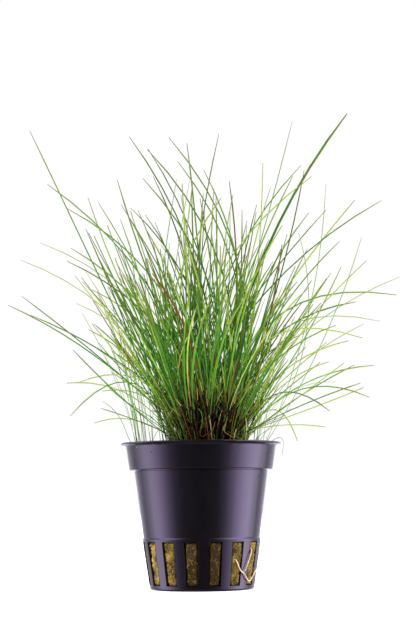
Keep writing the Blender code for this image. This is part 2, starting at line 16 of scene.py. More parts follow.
import bpy
import numpy as np
from mathutils import Matrix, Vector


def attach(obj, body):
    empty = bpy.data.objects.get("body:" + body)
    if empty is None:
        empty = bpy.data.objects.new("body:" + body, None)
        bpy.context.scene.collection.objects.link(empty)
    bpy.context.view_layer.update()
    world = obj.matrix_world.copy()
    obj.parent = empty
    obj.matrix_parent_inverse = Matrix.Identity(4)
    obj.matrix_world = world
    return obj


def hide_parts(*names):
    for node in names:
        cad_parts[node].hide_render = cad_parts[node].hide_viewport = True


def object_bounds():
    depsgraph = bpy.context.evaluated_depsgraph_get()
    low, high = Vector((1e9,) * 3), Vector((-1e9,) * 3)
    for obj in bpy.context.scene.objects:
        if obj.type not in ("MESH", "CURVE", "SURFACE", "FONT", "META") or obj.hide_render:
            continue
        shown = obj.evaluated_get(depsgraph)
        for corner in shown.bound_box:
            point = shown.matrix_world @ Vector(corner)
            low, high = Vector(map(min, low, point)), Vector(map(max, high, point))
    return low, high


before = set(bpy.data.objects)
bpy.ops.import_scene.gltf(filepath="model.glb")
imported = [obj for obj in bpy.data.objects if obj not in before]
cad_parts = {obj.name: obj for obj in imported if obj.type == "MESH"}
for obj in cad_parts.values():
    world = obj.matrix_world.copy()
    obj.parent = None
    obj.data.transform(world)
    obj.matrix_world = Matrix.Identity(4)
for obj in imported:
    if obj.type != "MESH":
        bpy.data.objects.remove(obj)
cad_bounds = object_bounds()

log = logging.getLogger("hairgrass")

MM = 0.001
TAU = 2 * math.pi
UP = np.array([0.0, 0.0, 1.0])
Array = np.ndarray
Chance = np.random.Generator
Range = tuple[float, float]
Colour = tuple[float, float, float]
Point = tuple[float, float, float]
Stops = tuple[tuple[float, Colour], ...]
Layers = tuple[tuple[float, float, int, int], ...]
Socket = bpy.types.NodeSocket
BODY = "root"


# Small helpers for vectors and curves


def unit(vectors: Array) -> Array:
    """Vectors divided by their lengths, along the last axis."""
    return vectors / np.linalg.norm(vectors, axis=-1, keepdims=True)


def smooth_step(low: float, high: float, values: Array) -> Array:
    """A share that rises smoothly from 0 at low to 1 at high: 3 s^2 - 2 s^3."""
    share = np.clip((values - low) / (high - low), 0.0, 1.0)
    return share * share * (3 - 2 * share)


def around(azimuth: Array, radius: Array, height: Array) -> Array:
    """Points at these azimuths, radii and heights.

    Args:
        azimuth: Angles from the front (-Y) towards +X.
        radius: Distances from the pot's axis.
        height: Heights above the ground.

    Returns:
        The points (radius sin a, -radius cos a, height), on a new last axis.
    """
    azimuth, radius, height = np.broadcast_arrays(azimuth, radius, height)
    return np.stack([radius * np.sin(azimuth), -radius * np.cos(azimuth), height], axis=-1)


def ripple(values: Array, waves: int, spread: float, seed: int) -> Array:
    """An uneven wave between about -1 and 1.

    The sum over the waves of sin(f v + p) / sqrt(waves), where each f is a whole
    number up to spread and each p is any phase, both drawn from the seed. A whole
    number closes the wave round a full turn.

    Args:
        values: Where to read the wave, as angles.
        waves: How many waves it is the sum of.
        spread: The most turns of one wave.
        seed: Where its random numbers start.

    Returns:
        The wave's height at each value.
    """
    chance = np.random.default_rng(seed)
    turns = chance.integers(1, int(spread) + 1, waves)
    phases = chance.uniform(0, TAU, waves)
    total = sum(np.sin(turn * values + phase) for turn, phase in zip(turns, phases))
    return total / math.sqrt(waves)


# Meshes


@dataclass
class Surface:
    """Points, the four- and three-sided faces between them, and numbers at each point."""

    points: Array
    quads: Array = field(default_factory=lambda: np.empty((0, 4), np.int64))
    triangles: Array = field(default_factory=lambda: np.empty((0, 3), np.int64))
    marks: dict[str, Array] = field(default_factory=dict)

    @staticmethod
    def joined(parts: Sequence["Surface"]) -> "Surface":
        """All the parts as one surface, with their points counted on from each other.

        Args:
            parts: Surfaces with the same marks.

        Returns:
            One surface that holds them all.
        """
        starts = np.cumsum([0] + [len(part.points) for part in parts])
        return Surface(
            np.concatenate([part.points for part in parts]),
            np.concatenate([part.quads + start for part, start in zip(parts, starts)]),
            np.concatenate([part.triangles + start for part, start in zip(parts, starts)]),
            {
                name: np.concatenate([part.marks[name] for part in parts])
                for name in parts[0].marks
            },
        )

    def to_mesh(self, name: str) -> bpy.types.Mesh:
        """A smooth-shaded Blender mesh of this surface, with each mark as an attribute.

        Args:
            name: The mesh's name.

        Returns:
            The new mesh.
        """
        mesh = bpy.data.meshes.new(name)
        corners = np.concatenate([self.quads.ravel(), self.triangles.ravel()])
        totals = np.concatenate(
            [np.full(len(self.quads), 4), np.full(len(self.triangles), 3)]
        )
        mesh.vertices.add(len(self.points))
        mesh.vertices.foreach_set("co", self.points.astype(np.float32).ravel())
        mesh.loops.add(len(corners))
        mesh.loops.foreach_set("vertex_index", corners.astype(np.int32))
        mesh.polygons.add(len(totals))
        mesh.polygons.foreach_set("loop_start", (np.cumsum(totals) - totals).astype(np.int32))
        for mark, values in self.marks.items():
            layer = mesh.attributes.new(mark, "FLOAT", "POINT")
            layer.data.foreach_set("value", values.astype(np.float32))
        mesh.update(calc_edges=True)
        mesh.validate()
        mesh.shade_smooth()
        return mesh

    def to_piece(
        self, name: str, material: bpy.types.Material, slot: str, replaced: Sequence[str]
    ) -> bpy.types.Object:
        """Puts the surface in the scene as a finished piece.

        Args:
            name: The piece's name.
            material: Its finish.
            slot: The record's slot that the finish belongs to; not used.
            replaced: The solids that the piece stands for, if any.

        Returns:
            The new object, riding on the one body.
        """
        mesh = self.to_mesh(name)
        mesh.materials.append(material)
        piece = bpy.data.objects.new(name, mesh)
        bpy.context.scene.collection.objects.link(piece)
        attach(piece, BODY)
        if replaced:
            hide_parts(*replaced)
        log.info("%s: %d points, %d faces", name, len(mesh.vertices), len(mesh.polygons))
        return piece


def between_rings(index: Array) -> Array:
    """The faces between closed rings of points, by the points' numbers.

    Args:
        index: The number of each point, of shape (rings, columns).

    Returns:
        Faces of shape (rings - 1, columns, 4).
    """
    after = np.roll(index, -1, axis=1)
    return np.stack([index[:-1], after[:-1], after[1:], index[1:]], axis=-1)


def to_poles(index: Array) -> Array:
    """The fans from the first and the last ring to the two points numbered after them.

    Args:
        index: The number of each point, of shape (rings, columns).

    Returns:
        Triangles of shape (2 columns, 3).
    """
    after = np.roll(index, -1, axis=1)
    low = np.full_like(index[0], index.size)
    under = np.stack([low, after[0], index[0]], axis=-1)
    above = np.stack([low + 1, index[-1], after[-1]], axis=-1)
    return np.concatenate([under, above])


def ringed(rows: Array, poles: Array, marks: dict[str, Array]) -> Surface:
    """Closed rings joined into one skin, with each end closed on a pole.

    Args:
        rows: Points of shape (rings, columns, 3).
        poles: The first ring's pole and the last one's.
        marks: Numbers at the points, with the poles' at the end.

    Returns:
        The skin.
    """
    index = np.arange(rows.shape[0] * rows.shape[1]).reshape(rows.shape[:2])
    points = np.concatenate([rows.reshape(-1, 3), poles])
    return Surface(points, between_rings(index).reshape(-1, 4), to_poles(index), marks)


def tubes(lines: Array, radii: Array, sides: int, marks: dict[str, Array]) -> Surface:
    """Round closed tubes along many lines at once.

    Ring j of a tube is line[j] + radius[j] (cos v n + sin v b), where n and b are
    square to the line there and b is as near as can be to one vector that is square
    to the whole tube's chord. Each end closes on a pole.

    Args:
        lines: Points of shape (tubes, rings, 3).
        radii: Radii of shape (tubes, rings).
        sides: How many sides each ring has.
        marks: Numbers of shape (tubes, rings) to carry at the points.

    Returns:
        One surface with all the tubes.
    """
    count, rings, _ = lines.shape
    ahead = unit(np.gradient(lines, axis=1))
    chord = unit(lines[:, -1] - lines[:, 0])
    least = np.eye(3)[np.argmin(np.abs(chord), axis=1)]
    across = unit(np.cross(chord, least))[:, None, :]
    normal = unit(np.cross(across, ahead))
    binormal = np.cross(ahead, normal)
    angles = np.arange(sides) * TAU / sides
    arms = (
        np.cos(angles)[:, None] * normal[:, :, None, :]
        + np.sin(angles)[:, None] * binormal[:, :, None, :]
    )
    body = lines[:, :, None, :] + radii[:, :, None, None] * arms
    ends = np.stack([lines[:, 0], lines[:, -1]], axis=1)
    points = np.concatenate([body.reshape(count, -1, 3), ends], axis=1)
    index = np.arange(rings * sides).reshape(rings, sides)
    base = np.arange(count)[:, None, None] * (index.size + 2)
    spread = {
        name: np.concatenate(
            [np.repeat(values, sides, axis=1), values[:, :1], values[:, -1:]], axis=1
        ).ravel()
        for name, values in marks.items()
    }
    return Surface(
        points.reshape(-1, 3),
        (between_rings(index).reshape(1, -1, 4) + base).reshape(-1, 4),
        (to_poles(index)[None] + base).reshape(-1, 3),
        spread,
    )


# Materials


class Nodes:
    """A node tree, to which nodes are added one at a time."""

    def __init__(self, tree: bpy.types.NodeTree) -> None:
        """Takes the tree to add to."""
        self.tree = tree

    def put(self, socket: Socket, value: Any) -> None:
        """Links another node's output to the socket, or sets its value.

        Args:
            socket: The input to fill.
            value: An output, a number, or a colour of three numbers.
        """
        if isinstance(value, bpy.types.NodeSocket):
            self.tree.links.new(value, socket)
        elif isinstance(value, tuple) and len(value) == 3 and socket.type == "RGBA":
            socket.default_value = (*value, 1.0)
        else:
            socket.default_value = value

    def node(self, kind: str, sockets: dict[Any, Any], **settings: Any) -> bpy.types.Node:
        """A new node.

        Args:
            kind: Its type.
            sockets: What to put in its inputs, by their names or numbers.
            **settings: Its properties.

        Returns:
            The node.
        """
        made = self.tree.nodes.new(kind)
        for name, value in settings.items():
            setattr(made, name, value)
        for name, value in sockets.items():
            self.put(made.inputs[name], value)
        return made

    def math(self, operation: str, first: Any, second: Any = 0.0) -> Socket:
        """The result of one operation on two numbers, either of which may be a socket."""
        return self.node("ShaderNodeMath", {0: first, 1: second}, operation=operation).outputs[0]

    def mix(self, share: Any, first: Any, second: Any) -> Socket:
        """Two colours mixed, with this share of the second."""
        sockets = {0: share, 6: first, 7: second}
        return self.node("ShaderNodeMix", sockets, data_type="RGBA").outputs[2]

    def ramp(self, value: Socket, stops: Sequence, interpolation: str = "LINEAR") -> Socket:
        """A colour read from stops.

        Args:
            value: The number to read it by, from 0 to 1.
            stops: Pairs of a number and the colour there.
            interpolation: How the colour goes from one stop to the next.

        Returns:
            The colour.
        """
        made = self.node("ShaderNodeValToRGB", {"Fac": value})
        made.color_ramp.interpolation = interpolation
        elements = made.color_ramp.elements
        elements.remove(elements[1])
        elements[0].position = stops[0][0]
        for position, _ in stops[1:]:
            elements.new(position)
        for element, (_, colour) in zip(elements, stops):
            element.color = (*colour, 1.0)
        return made.outputs["Color"]


class Recipe(Nodes):
    """A material's nodes, joined to one principled shader."""

    def __init__(self, name: str) -> None:
        """Starts a material with only its shader and its output.

        Args:
            name: The material's name.
        """
        self.material = bpy.data.materials.new(name)
        self.material.use_nodes = True
        super().__init__(self.material.node_tree)
        self.shader = self.tree.nodes["Principled BSDF"]

    def shade(self, **values: Any) -> None:
        """Sets or links the shader's sockets, named with _ for each space."""
        for name, value in values.items():
            self.put(self.shader.inputs[name.replace("_", " ")], value)

    def place(self) -> Socket:
        """The Object coordinates."""
        return self.node("ShaderNodeTexCoord", {}).outputs["Object"]

    def mark(self, name: str) -> Socket:
        """A number that the mesh carries at its points."""
        return self.node("ShaderNodeAttribute", {}, attribute_name=name).outputs["Fac"]

    def stretched(self, scale: Point) -> Socket:
        """The Object coordinates multiplied along each axis."""
        return self.node("ShaderNodeMapping", {"Vector": self.place(), "Scale": scale}).outputs[0]

    def noise(self, scale: float, detail: float, vector: Socket | None = None) -> Socket:
        """Noise from 0 to 1 of this many waves to the metre, with this many finer layers."""
        sockets = {"Scale": scale, "Detail": detail, "Vector": vector or self.place()}
        return self.node("ShaderNodeTexNoise", sockets).outputs["Fac"]

    def ease(self, value: Socket, low: float, high: float, start: float, end: float) -> Socket:
        """The value taken smoothly from the range low to high, to start to end."""
        sockets = dict(enumerate((value, low, high, start, end)))
        return self.node("ShaderNodeMapRange", sockets, interpolation_type="SMOOTHSTEP").outputs[0]

    def bump(self, height: Socket, depth: float) -> None:
        """Raises the surface by up to depth metres with the height."""
        bump = self.node("ShaderNodeBump", {"Distance": depth, "Height": height})
        self.put(self.shader.inputs["Normal"], bump.outputs["Normal"])


@dataclass(frozen=True)
class PotPlastic:
    """Moulded black plastic with a violet sheen and fine scuffs."""

    dark: Colour = (0.0026, 0.0021, 0.0030)
    sheen: Colour = (0.84, 0.70, 1.0)
    roughness: Range = (0.17, 0.24)

    def material(self) -> bpy.types.Material:
        """Dark plastic, duller in patches.

        Returns:
            The material.
        """
        recipe = Recipe("pot_plastic")
        patches = recipe.noise(160.0, 5.0)
        scuffs = recipe.noise(260.0, 4.0, recipe.stretched((1.0, 1.0, 0.12)))
        both = recipe.math("ADD", patches, scuffs)
        low, high = self.roughness
        recipe.shade(
            Base_Color=self.dark,
            Roughness=recipe.ease(both, 0.75, 1.3, low, high),
            IOR=1.47,
            Specular_Tint=(*self.sheen, 1.0),
        )
        recipe.bump(recipe.noise(1400.0, 3.0), 0.012 * MM)
        return recipe.material


@dataclass(frozen=True)
class MineralWool:
    """Mineral wool, ochre to olive with dark pits; its tone carries painted shade at the front."""

    pit: Colour = (0.035, 0.022, 0.008)
    olive: Colour = (0.17, 0.125, 0.030)
    ochre: Colour = (0.42, 0.245, 0.052)
    pale: Colour = (0.70, 0.53, 0.23)

    def material(self) -> bpy.types.Material:
        """Colour from broad patches and fine grain, and from each fibre's own tone, which holds painted
        shade at the front and painted light at the sides.

        Returns:
            The material.
        """
        recipe = Recipe("mineral_wool")
        broad = recipe.noise(260.0, 3.0)
        grain = recipe.noise(2300.0, 4.0)
        tone = recipe.mark("tone")
        total = recipe.math("ADD", recipe.math("MULTIPLY", broad, 0.45), grain)
        total = recipe.math("ADD", total, tone)
        colour = recipe.ramp(
            recipe.math("MULTIPLY", total, 0.55),
            ((0.22, self.pit), (0.36, self.olive), (0.47, self.ochre), (0.66, self.pale)),
        )
        recipe.shade(Base_Color=colour, Roughness=0.9, Specular_IOR_Level=0.08)
        recipe.bump(grain, 0.15 * MM)
        return recipe.material


@dataclass(frozen=True)
class RootSkin:
    """The smooth pale skin of a young root."""

    cream: Colour = (0.86, 0.70, 0.50)
    peach: Colour = (0.74, 0.44, 0.24)

    def material(self) -> bpy.types.Material:
        """Cream with peach patches and a soft gloss.

        Returns:
            The material.
        """
        recipe = Recipe("root")
        patches = recipe.ease(recipe.noise(330.0, 3.0), 0.42, 0.66, 0.0, 1.0)
        recipe.shade(
            Base_Color=recipe.mix(patches, self.cream, self.peach),
            Roughness=0.45,
            Subsurface_Weight=0.25,
            Subsurface_Scale=0.0005,
        )
        recipe.bump(recipe.noise(2200.0, 2.0), 0.02 * MM)
        return recipe.material


@dataclass(frozen=True)
class DryLeaf:
    """A dead leaf: grey straw with brown spots."""

    straw: Colour = (0.42, 0.34, 0.22)
    brown: Colour = (0.16, 0.10, 0.05)

    def material(self) -> bpy.types.Material:
        """Grey straw that turns brown in spots.

        Returns:
            The material.
        """
        recipe = Recipe("dead_leaf")
        spots = recipe.ease(recipe.noise(520.0, 4.0), 0.45, 0.62, 0.0, 1.0)
        recipe.shade(Base_Color=recipe.mix(spots, self.straw, self.brown), Roughness=0.7)
        recipe.bump(recipe.noise(2500.0, 2.0), 0.02 * MM)
        return recipe.material


@dataclass(frozen=True)
class GrassSkin:
    """The skin of the culms, from brown sheaths at the foot, partly painted shade, to dull tips.

    Each of the last three fields says from which share of a culm's length to which
    one a colour comes in or goes out, and how much of it there is at either end.
    """

    greens: Stops = (
        (0.0, (0.017, 0.080, 0.014)),
        (0.35, (0.036, 0.180, 0.021)),
        (0.65, (0.098, 0.300, 0.026)),
        (0.85, (0.235, 0.410, 0.048)),
        (1.0, (0.390, 0.510, 0.105)),
    )
    # Foot and sheath colours: brown sheaths, partly real, with the near-black lower stops as painted
    # shade deep in the clump's foot.
    feet: Stops = (
        (0.0, (0.008, 0.005, 0.004)),
        (0.5, (0.019, 0.013, 0.008)),
        (0.8, (0.090, 0.038, 0.014)),
        (1.0, (0.280, 0.140, 0.050)),
    )
    dead: Stops = (
        (0.0, (0.050, 0.018, 0.006)),
        (0.4, (0.200, 0.075, 0.020)),
        (0.7, (0.400, 0.230, 0.060)),
        (1.0, (0.660, 0.520, 0.260)),
    )
    tops: Stops = (
        (0.0, (0.090, 0.118, 0.022)),
        (0.35, (0.182, 0.212, 0.030)),
        (0.65, (0.232, 0.270, 0.040)),
        (1.0, (0.340, 0.395, 0.090)),
    )
    pale: Colour = (0.340, 0.420, 0.190)
    tip: Colour = (0.170, 0.150, 0.070)
    unevenness: float = 0.36
    pale_foot: tuple[float, float, float, float] = (0.0, 0.38, 0.5, 0.0)
    dull_top: tuple[float, float, float, float] = (0.5, 0.95, 0.0, 0.65)
    brown_tip: tuple[float, float, float, float] = (0.90, 1.0, 0.0, 0.7)

    def material(self) -> bpy.types.Material:
        """Colour by each culm's tone, its height up the culm, and how dry it is.

        Returns:
            The material.
        """
        recipe = Recipe("grass")
        patches = recipe.math("MULTIPLY", recipe.noise(240.0, 3.0), self.unevenness)
        tone = recipe.math("ADD", recipe.mark("tone"), patches)
        tone = recipe.math("SUBTRACT", tone, self.unevenness / 2)
        green, foot, dead, top = (
            recipe.ramp(tone, stops) for stops in (self.greens, self.feet, self.dead, self.tops)
        )
        share = recipe.mark("share")
        green = recipe.mix(recipe.ease(share, *self.pale_foot), green, self.pale)
        colour = recipe.mix(recipe.mark("green"), foot, green)
        colour = recipe.mix(recipe.ease(share, *self.dull_top), colour, top)
        colour = recipe.mix(recipe.ease(share, *self.brown_tip), colour, self.tip)
        colour = recipe.mix(recipe.mark("dry"), colour, dead)
        recipe.shade(Base_Color=colour, Roughness=0.6, IOR=1.38, Specular_IOR_Level=0.04)
        return recipe.material


@dataclass(frozen=True)
class DustSkin:
    """Grit and dried algae, from pale to nearly black."""

    shades: Stops = (
        (0.0, (0.50, 0.44, 0.36)),
        (0.5, (0.20, 0.14, 0.07)),
        (1.0, (0.02, 0.02, 0.01)),
    )

    def material(self) -> bpy.types.Material:
        """A dull surface in each grain's own shade.

        Returns:
            The material.
        """
        recipe = Recipe("dust")
        grainy = recipe.math("MULTIPLY", recipe.noise(3000.0, 2.0), 0.3)
        tone = recipe.math("ADD", recipe.mark("tone"), grainy)
        recipe.shade(Base_Color=recipe.ramp(tone, self.shades), Roughness=0.9)
        return recipe.material


# The studio


@dataclass(frozen=True)
class Studio:
    """A white sweep in soft light, and the camera a little above the ground.

    The side boxes are pairs of an azimuth in degrees and the brightness there. The
    dome is pairs of a height, from 0 straight below to 1 straight above, and the
    brightness there.
    """

    distance: float = 543 * MM
    height: float = 27.6 * MM
    tilt: float = math.radians(7.1)
    roll: float = math.radians(0.55)
    focal_pixels: float = 1570.0
    off_axis_pixels: float = 8.4
    frame_height: float = 624.0
    sensor: float = 36.0
    floor_reach: float = 6.0
    floor_glow: float = 0.55
    side_boxes: tuple[tuple[float, float], ...] = (
        (-180, 1.30), (-145, 0.85), (-128, 0.68), (-113, 1.85), (-100, 4.1), (-86, 4.8), (-74, 3.4),
        (-60, 1.5), (-48, 0.50), (-30, 0.18), (0, 0.10), (28, 0.16), (42, 0.64), (56, 2.1),
        (70, 4.5), (84, 6.0), (98, 5.8), (112, 2.8), (128, 0.7), (145, 0.95),
    )
    box_top: float = 6.0
    box_tint: Colour = (1.02, 0.965, 1.19)
    untinted_front: float = 40
    floor_gloss: float = 0.42
    floor_edge: Range = (-0.62, -0.42)
    dome: tuple[tuple[float, float], ...] = ((0, 0.55), (0.5, 0.62), (0.62, 0.85), (0.8, 1.7), (1, 2))
    dome_top: float = 2.5
    white: Colour = (1.0, 1.0, 1.0)

    def place_camera(self) -> None:
        """Looks at the pot from the front: turned to one side, tilted up and rolled a little."""
        turn = math.atan(self.off_axis_pixels / self.focal_pixels)
        right = np.array([math.cos(turn), -math.sin(turn), 0.0])
        flat = math.cos(self.tilt)
        ahead = np.array([math.sin(turn) * flat, math.cos(turn) * flat, math.sin(self.tilt)])
        up = np.cross(right, ahead)
        place = np.eye(4)
        place[:3, 0] = math.cos(self.roll) * right - math.sin(self.roll) * up
        place[:3, 1] = math.sin(self.roll) * right + math.cos(self.roll) * up
        place[:3, 2] = -ahead
        place[:3, 3] = (0.0, -self.distance, self.height)
        data = bpy.data.cameras.new("camera")
        data.sensor_fit = "VERTICAL"
        data.sensor_height = self.sensor
        data.sensor_width = self.sensor
        data.lens = self.focal_pixels / self.frame_height * self.sensor
        data.clip_start, data.clip_end = 0.01, 50.0
        camera = bpy.data.objects.new("camera", data)
        camera.matrix_world = Matrix(place.tolist())
        bpy.context.scene.collection.objects.link(camera)
        bpy.context.scene.camera = camera

    def lay_floor(self) -> None:
        """A wide pale floor that glows a little, as a sheet lit from below does."""
        reach = self.floor_reach
        corners = np.array([(-1, -1, 0), (1, -1, 0), (1, 1, 0), (-1, 1, 0)]) * reach
        sheet = Surface(corners, np.array([[0, 1, 2, 3]]))
        recipe = Recipe("pale_floor")
        recipe.shade(
            Base_Color=(0.92, 0.92, 0.92),
            Roughness=0.9,
            Specular_IOR_Level=0.0,
            Emission_Color=self.white,
            Emission_Strength=self.floor_glow,
        )
        mesh = sheet.to_mesh("floor")
        mesh.materials.append(recipe.material)
        floor = bpy.data.objects.new("floor", mesh)
        bpy.context.scene.collection.objects.link(floor)
        floor.visible_glossy = False

    def brightness(self, sky: Nodes, value: Socket, stops: Sequence, top: float) -> Socket:
        """A brightness read from stops, eased between them.

        Args:
            sky: The world's nodes.
            value: The number to read it by, from 0 to 1.
            stops: Pairs of a number and the brightness there.
            top: A brightness that none of them passes.

        Returns:
            The brightness.
        """
        shades = [(place, (level / top,) * 3) for place, level in stops]
        return sky.math("MULTIPLY", sky.ramp(value, shades, "EASE"), top)

    def side_light(self, sky: Nodes, turn: Socket) -> Socket:
        """What gloss sees round the horizon: soft boxes, tinted except at the front.

        Args:
            sky: The world's nodes.
            turn: The azimuth as a share of a full turn, with 0.5 at the front.

        Returns:
            The colour of the light.
        """
        boxes = [(angle / 360 + 0.5, level) for angle, level in self.side_boxes]
        boxes.append((1.0, self.side_boxes[0][1]))
        level = self.brightness(sky, turn, boxes, self.box_top)
        off = sky.math("ABSOLUTE", sky.math("SUBTRACT", sky.math("MULTIPLY", turn, 360.0), 180.0))
        tinted = sky.math("GREATER_THAN", off, self.untinted_front)
        sockets = {0: sky.mix(tinted, self.white, self.box_tint), "Scale": level}
        return sky.node("ShaderNodeVectorMath", sockets, operation="SCALE").outputs[0]

    def light(self) -> None:
        """A soft dome, brighter above, whose gloss shows a tall soft box on each side."""
        world = bpy.data.worlds.new("soft_studio")
        bpy.context.scene.world = world
        world.use_nodes = True
        world.cycles.sampling_method = "NONE"
        world.node_tree.nodes.clear()
        sky = Nodes(world.node_tree)
        direction = sky.node("ShaderNodeTexCoord", {}).outputs["Generated"]
        east, north, up = sky.node("ShaderNodeSeparateXYZ", {0: direction}).outputs
        azimuth = sky.math("ARCTAN2", east, sky.math("MULTIPLY", north, -1.0))
        turn = sky.math("ADD", sky.math("DIVIDE", azimuth, TAU), 0.5)
        low, high = self.floor_edge
        above = sky.math("MULTIPLY", sky.math("SUBTRACT", up, low), 1 / (high - low))
        above = sky.math("MINIMUM", sky.math("MAXIMUM", above, 0.0), 1.0)
        gloss = sky.mix(above, (self.floor_gloss,) * 3, self.side_light(sky, turn))
        rise = sky.math("ADD", sky.math("MULTIPLY", up, 0.5), 0.5)
        dome = self.brightness(sky, rise, self.dome, self.dome_top)
        rays = sky.node("ShaderNodeLightPath", {}).outputs
        colour = sky.mix(rays["Is Glossy Ray"], dome, gloss)
        colour = sky.mix(rays["Is Camera Ray"], colour, self.white)
        background = sky.node("ShaderNodeBackground", {"Color": colour}).outputs[0]
        sky.node("ShaderNodeOutputWorld", {"Surface": background})

    def build(self) -> None:
        """Sets up the camera, the floor and the light."""
        bpy.context.scene.view_settings.view_transform = "Standard"
        self.place_camera()
        self.lay_floor()
        self.light()
        log.info("studio ready")


# The pot


@dataclass(frozen=True)
class PotShape:
    """The sizes of the turned pot, which its wool follows too."""

    lip_radius: float = 27.5 * MM
    lip_top: float = 49.75 * MM
    lip_thickness: float = 0.6 * MM
    lip_inner_radius: float = 25.9 * MM
    wall: float = 0.8 * MM
    floor: float = 1.0 * MM
    foot_round: float = 0.9 * MM
    body_foot_radius: float = 17.55 * MM
    body_slope: float = 0.133
    ridge: float = 0.35 * MM
    ridge_foot: float = 0.1 * MM
    ridge_full: float = 13.0 * MM
    ridge_top: float = 17.1 * MM
    ridge_fade: float = 0.5 * MM
    step_height: float = 40.5 * MM
    groove: float = 0.3 * MM
    band_foot_radius: float = 24.6 * MM
    band_round: float = 0.3 * MM
    band_top: float = 48.3 * MM
    band_slope: float = 0.148

    def body_radius(self, height: Array) -> Array:
        """Outer radius of the tapered body: its foot radius plus its slope times height."""
        return self.body_foot_radius + self.body_slope * height

    def ridge_radius(self, height: Array) -> Array:
        """Outer radius round the slots, where the wall stands out a little more upwards."""
        share = np.clip(height / self.ridge_full, 0.0, 1.0)
        return self.body_radius(height) + self.ridge_foot + share * (self.ridge - self.ridge_foot)

    def band_radius(self, height: Array) -> Array:
        """Outer radius of the band above the step, in the same way."""
        return self.band_foot_radius + self.band_slope * (height - self.step_height)


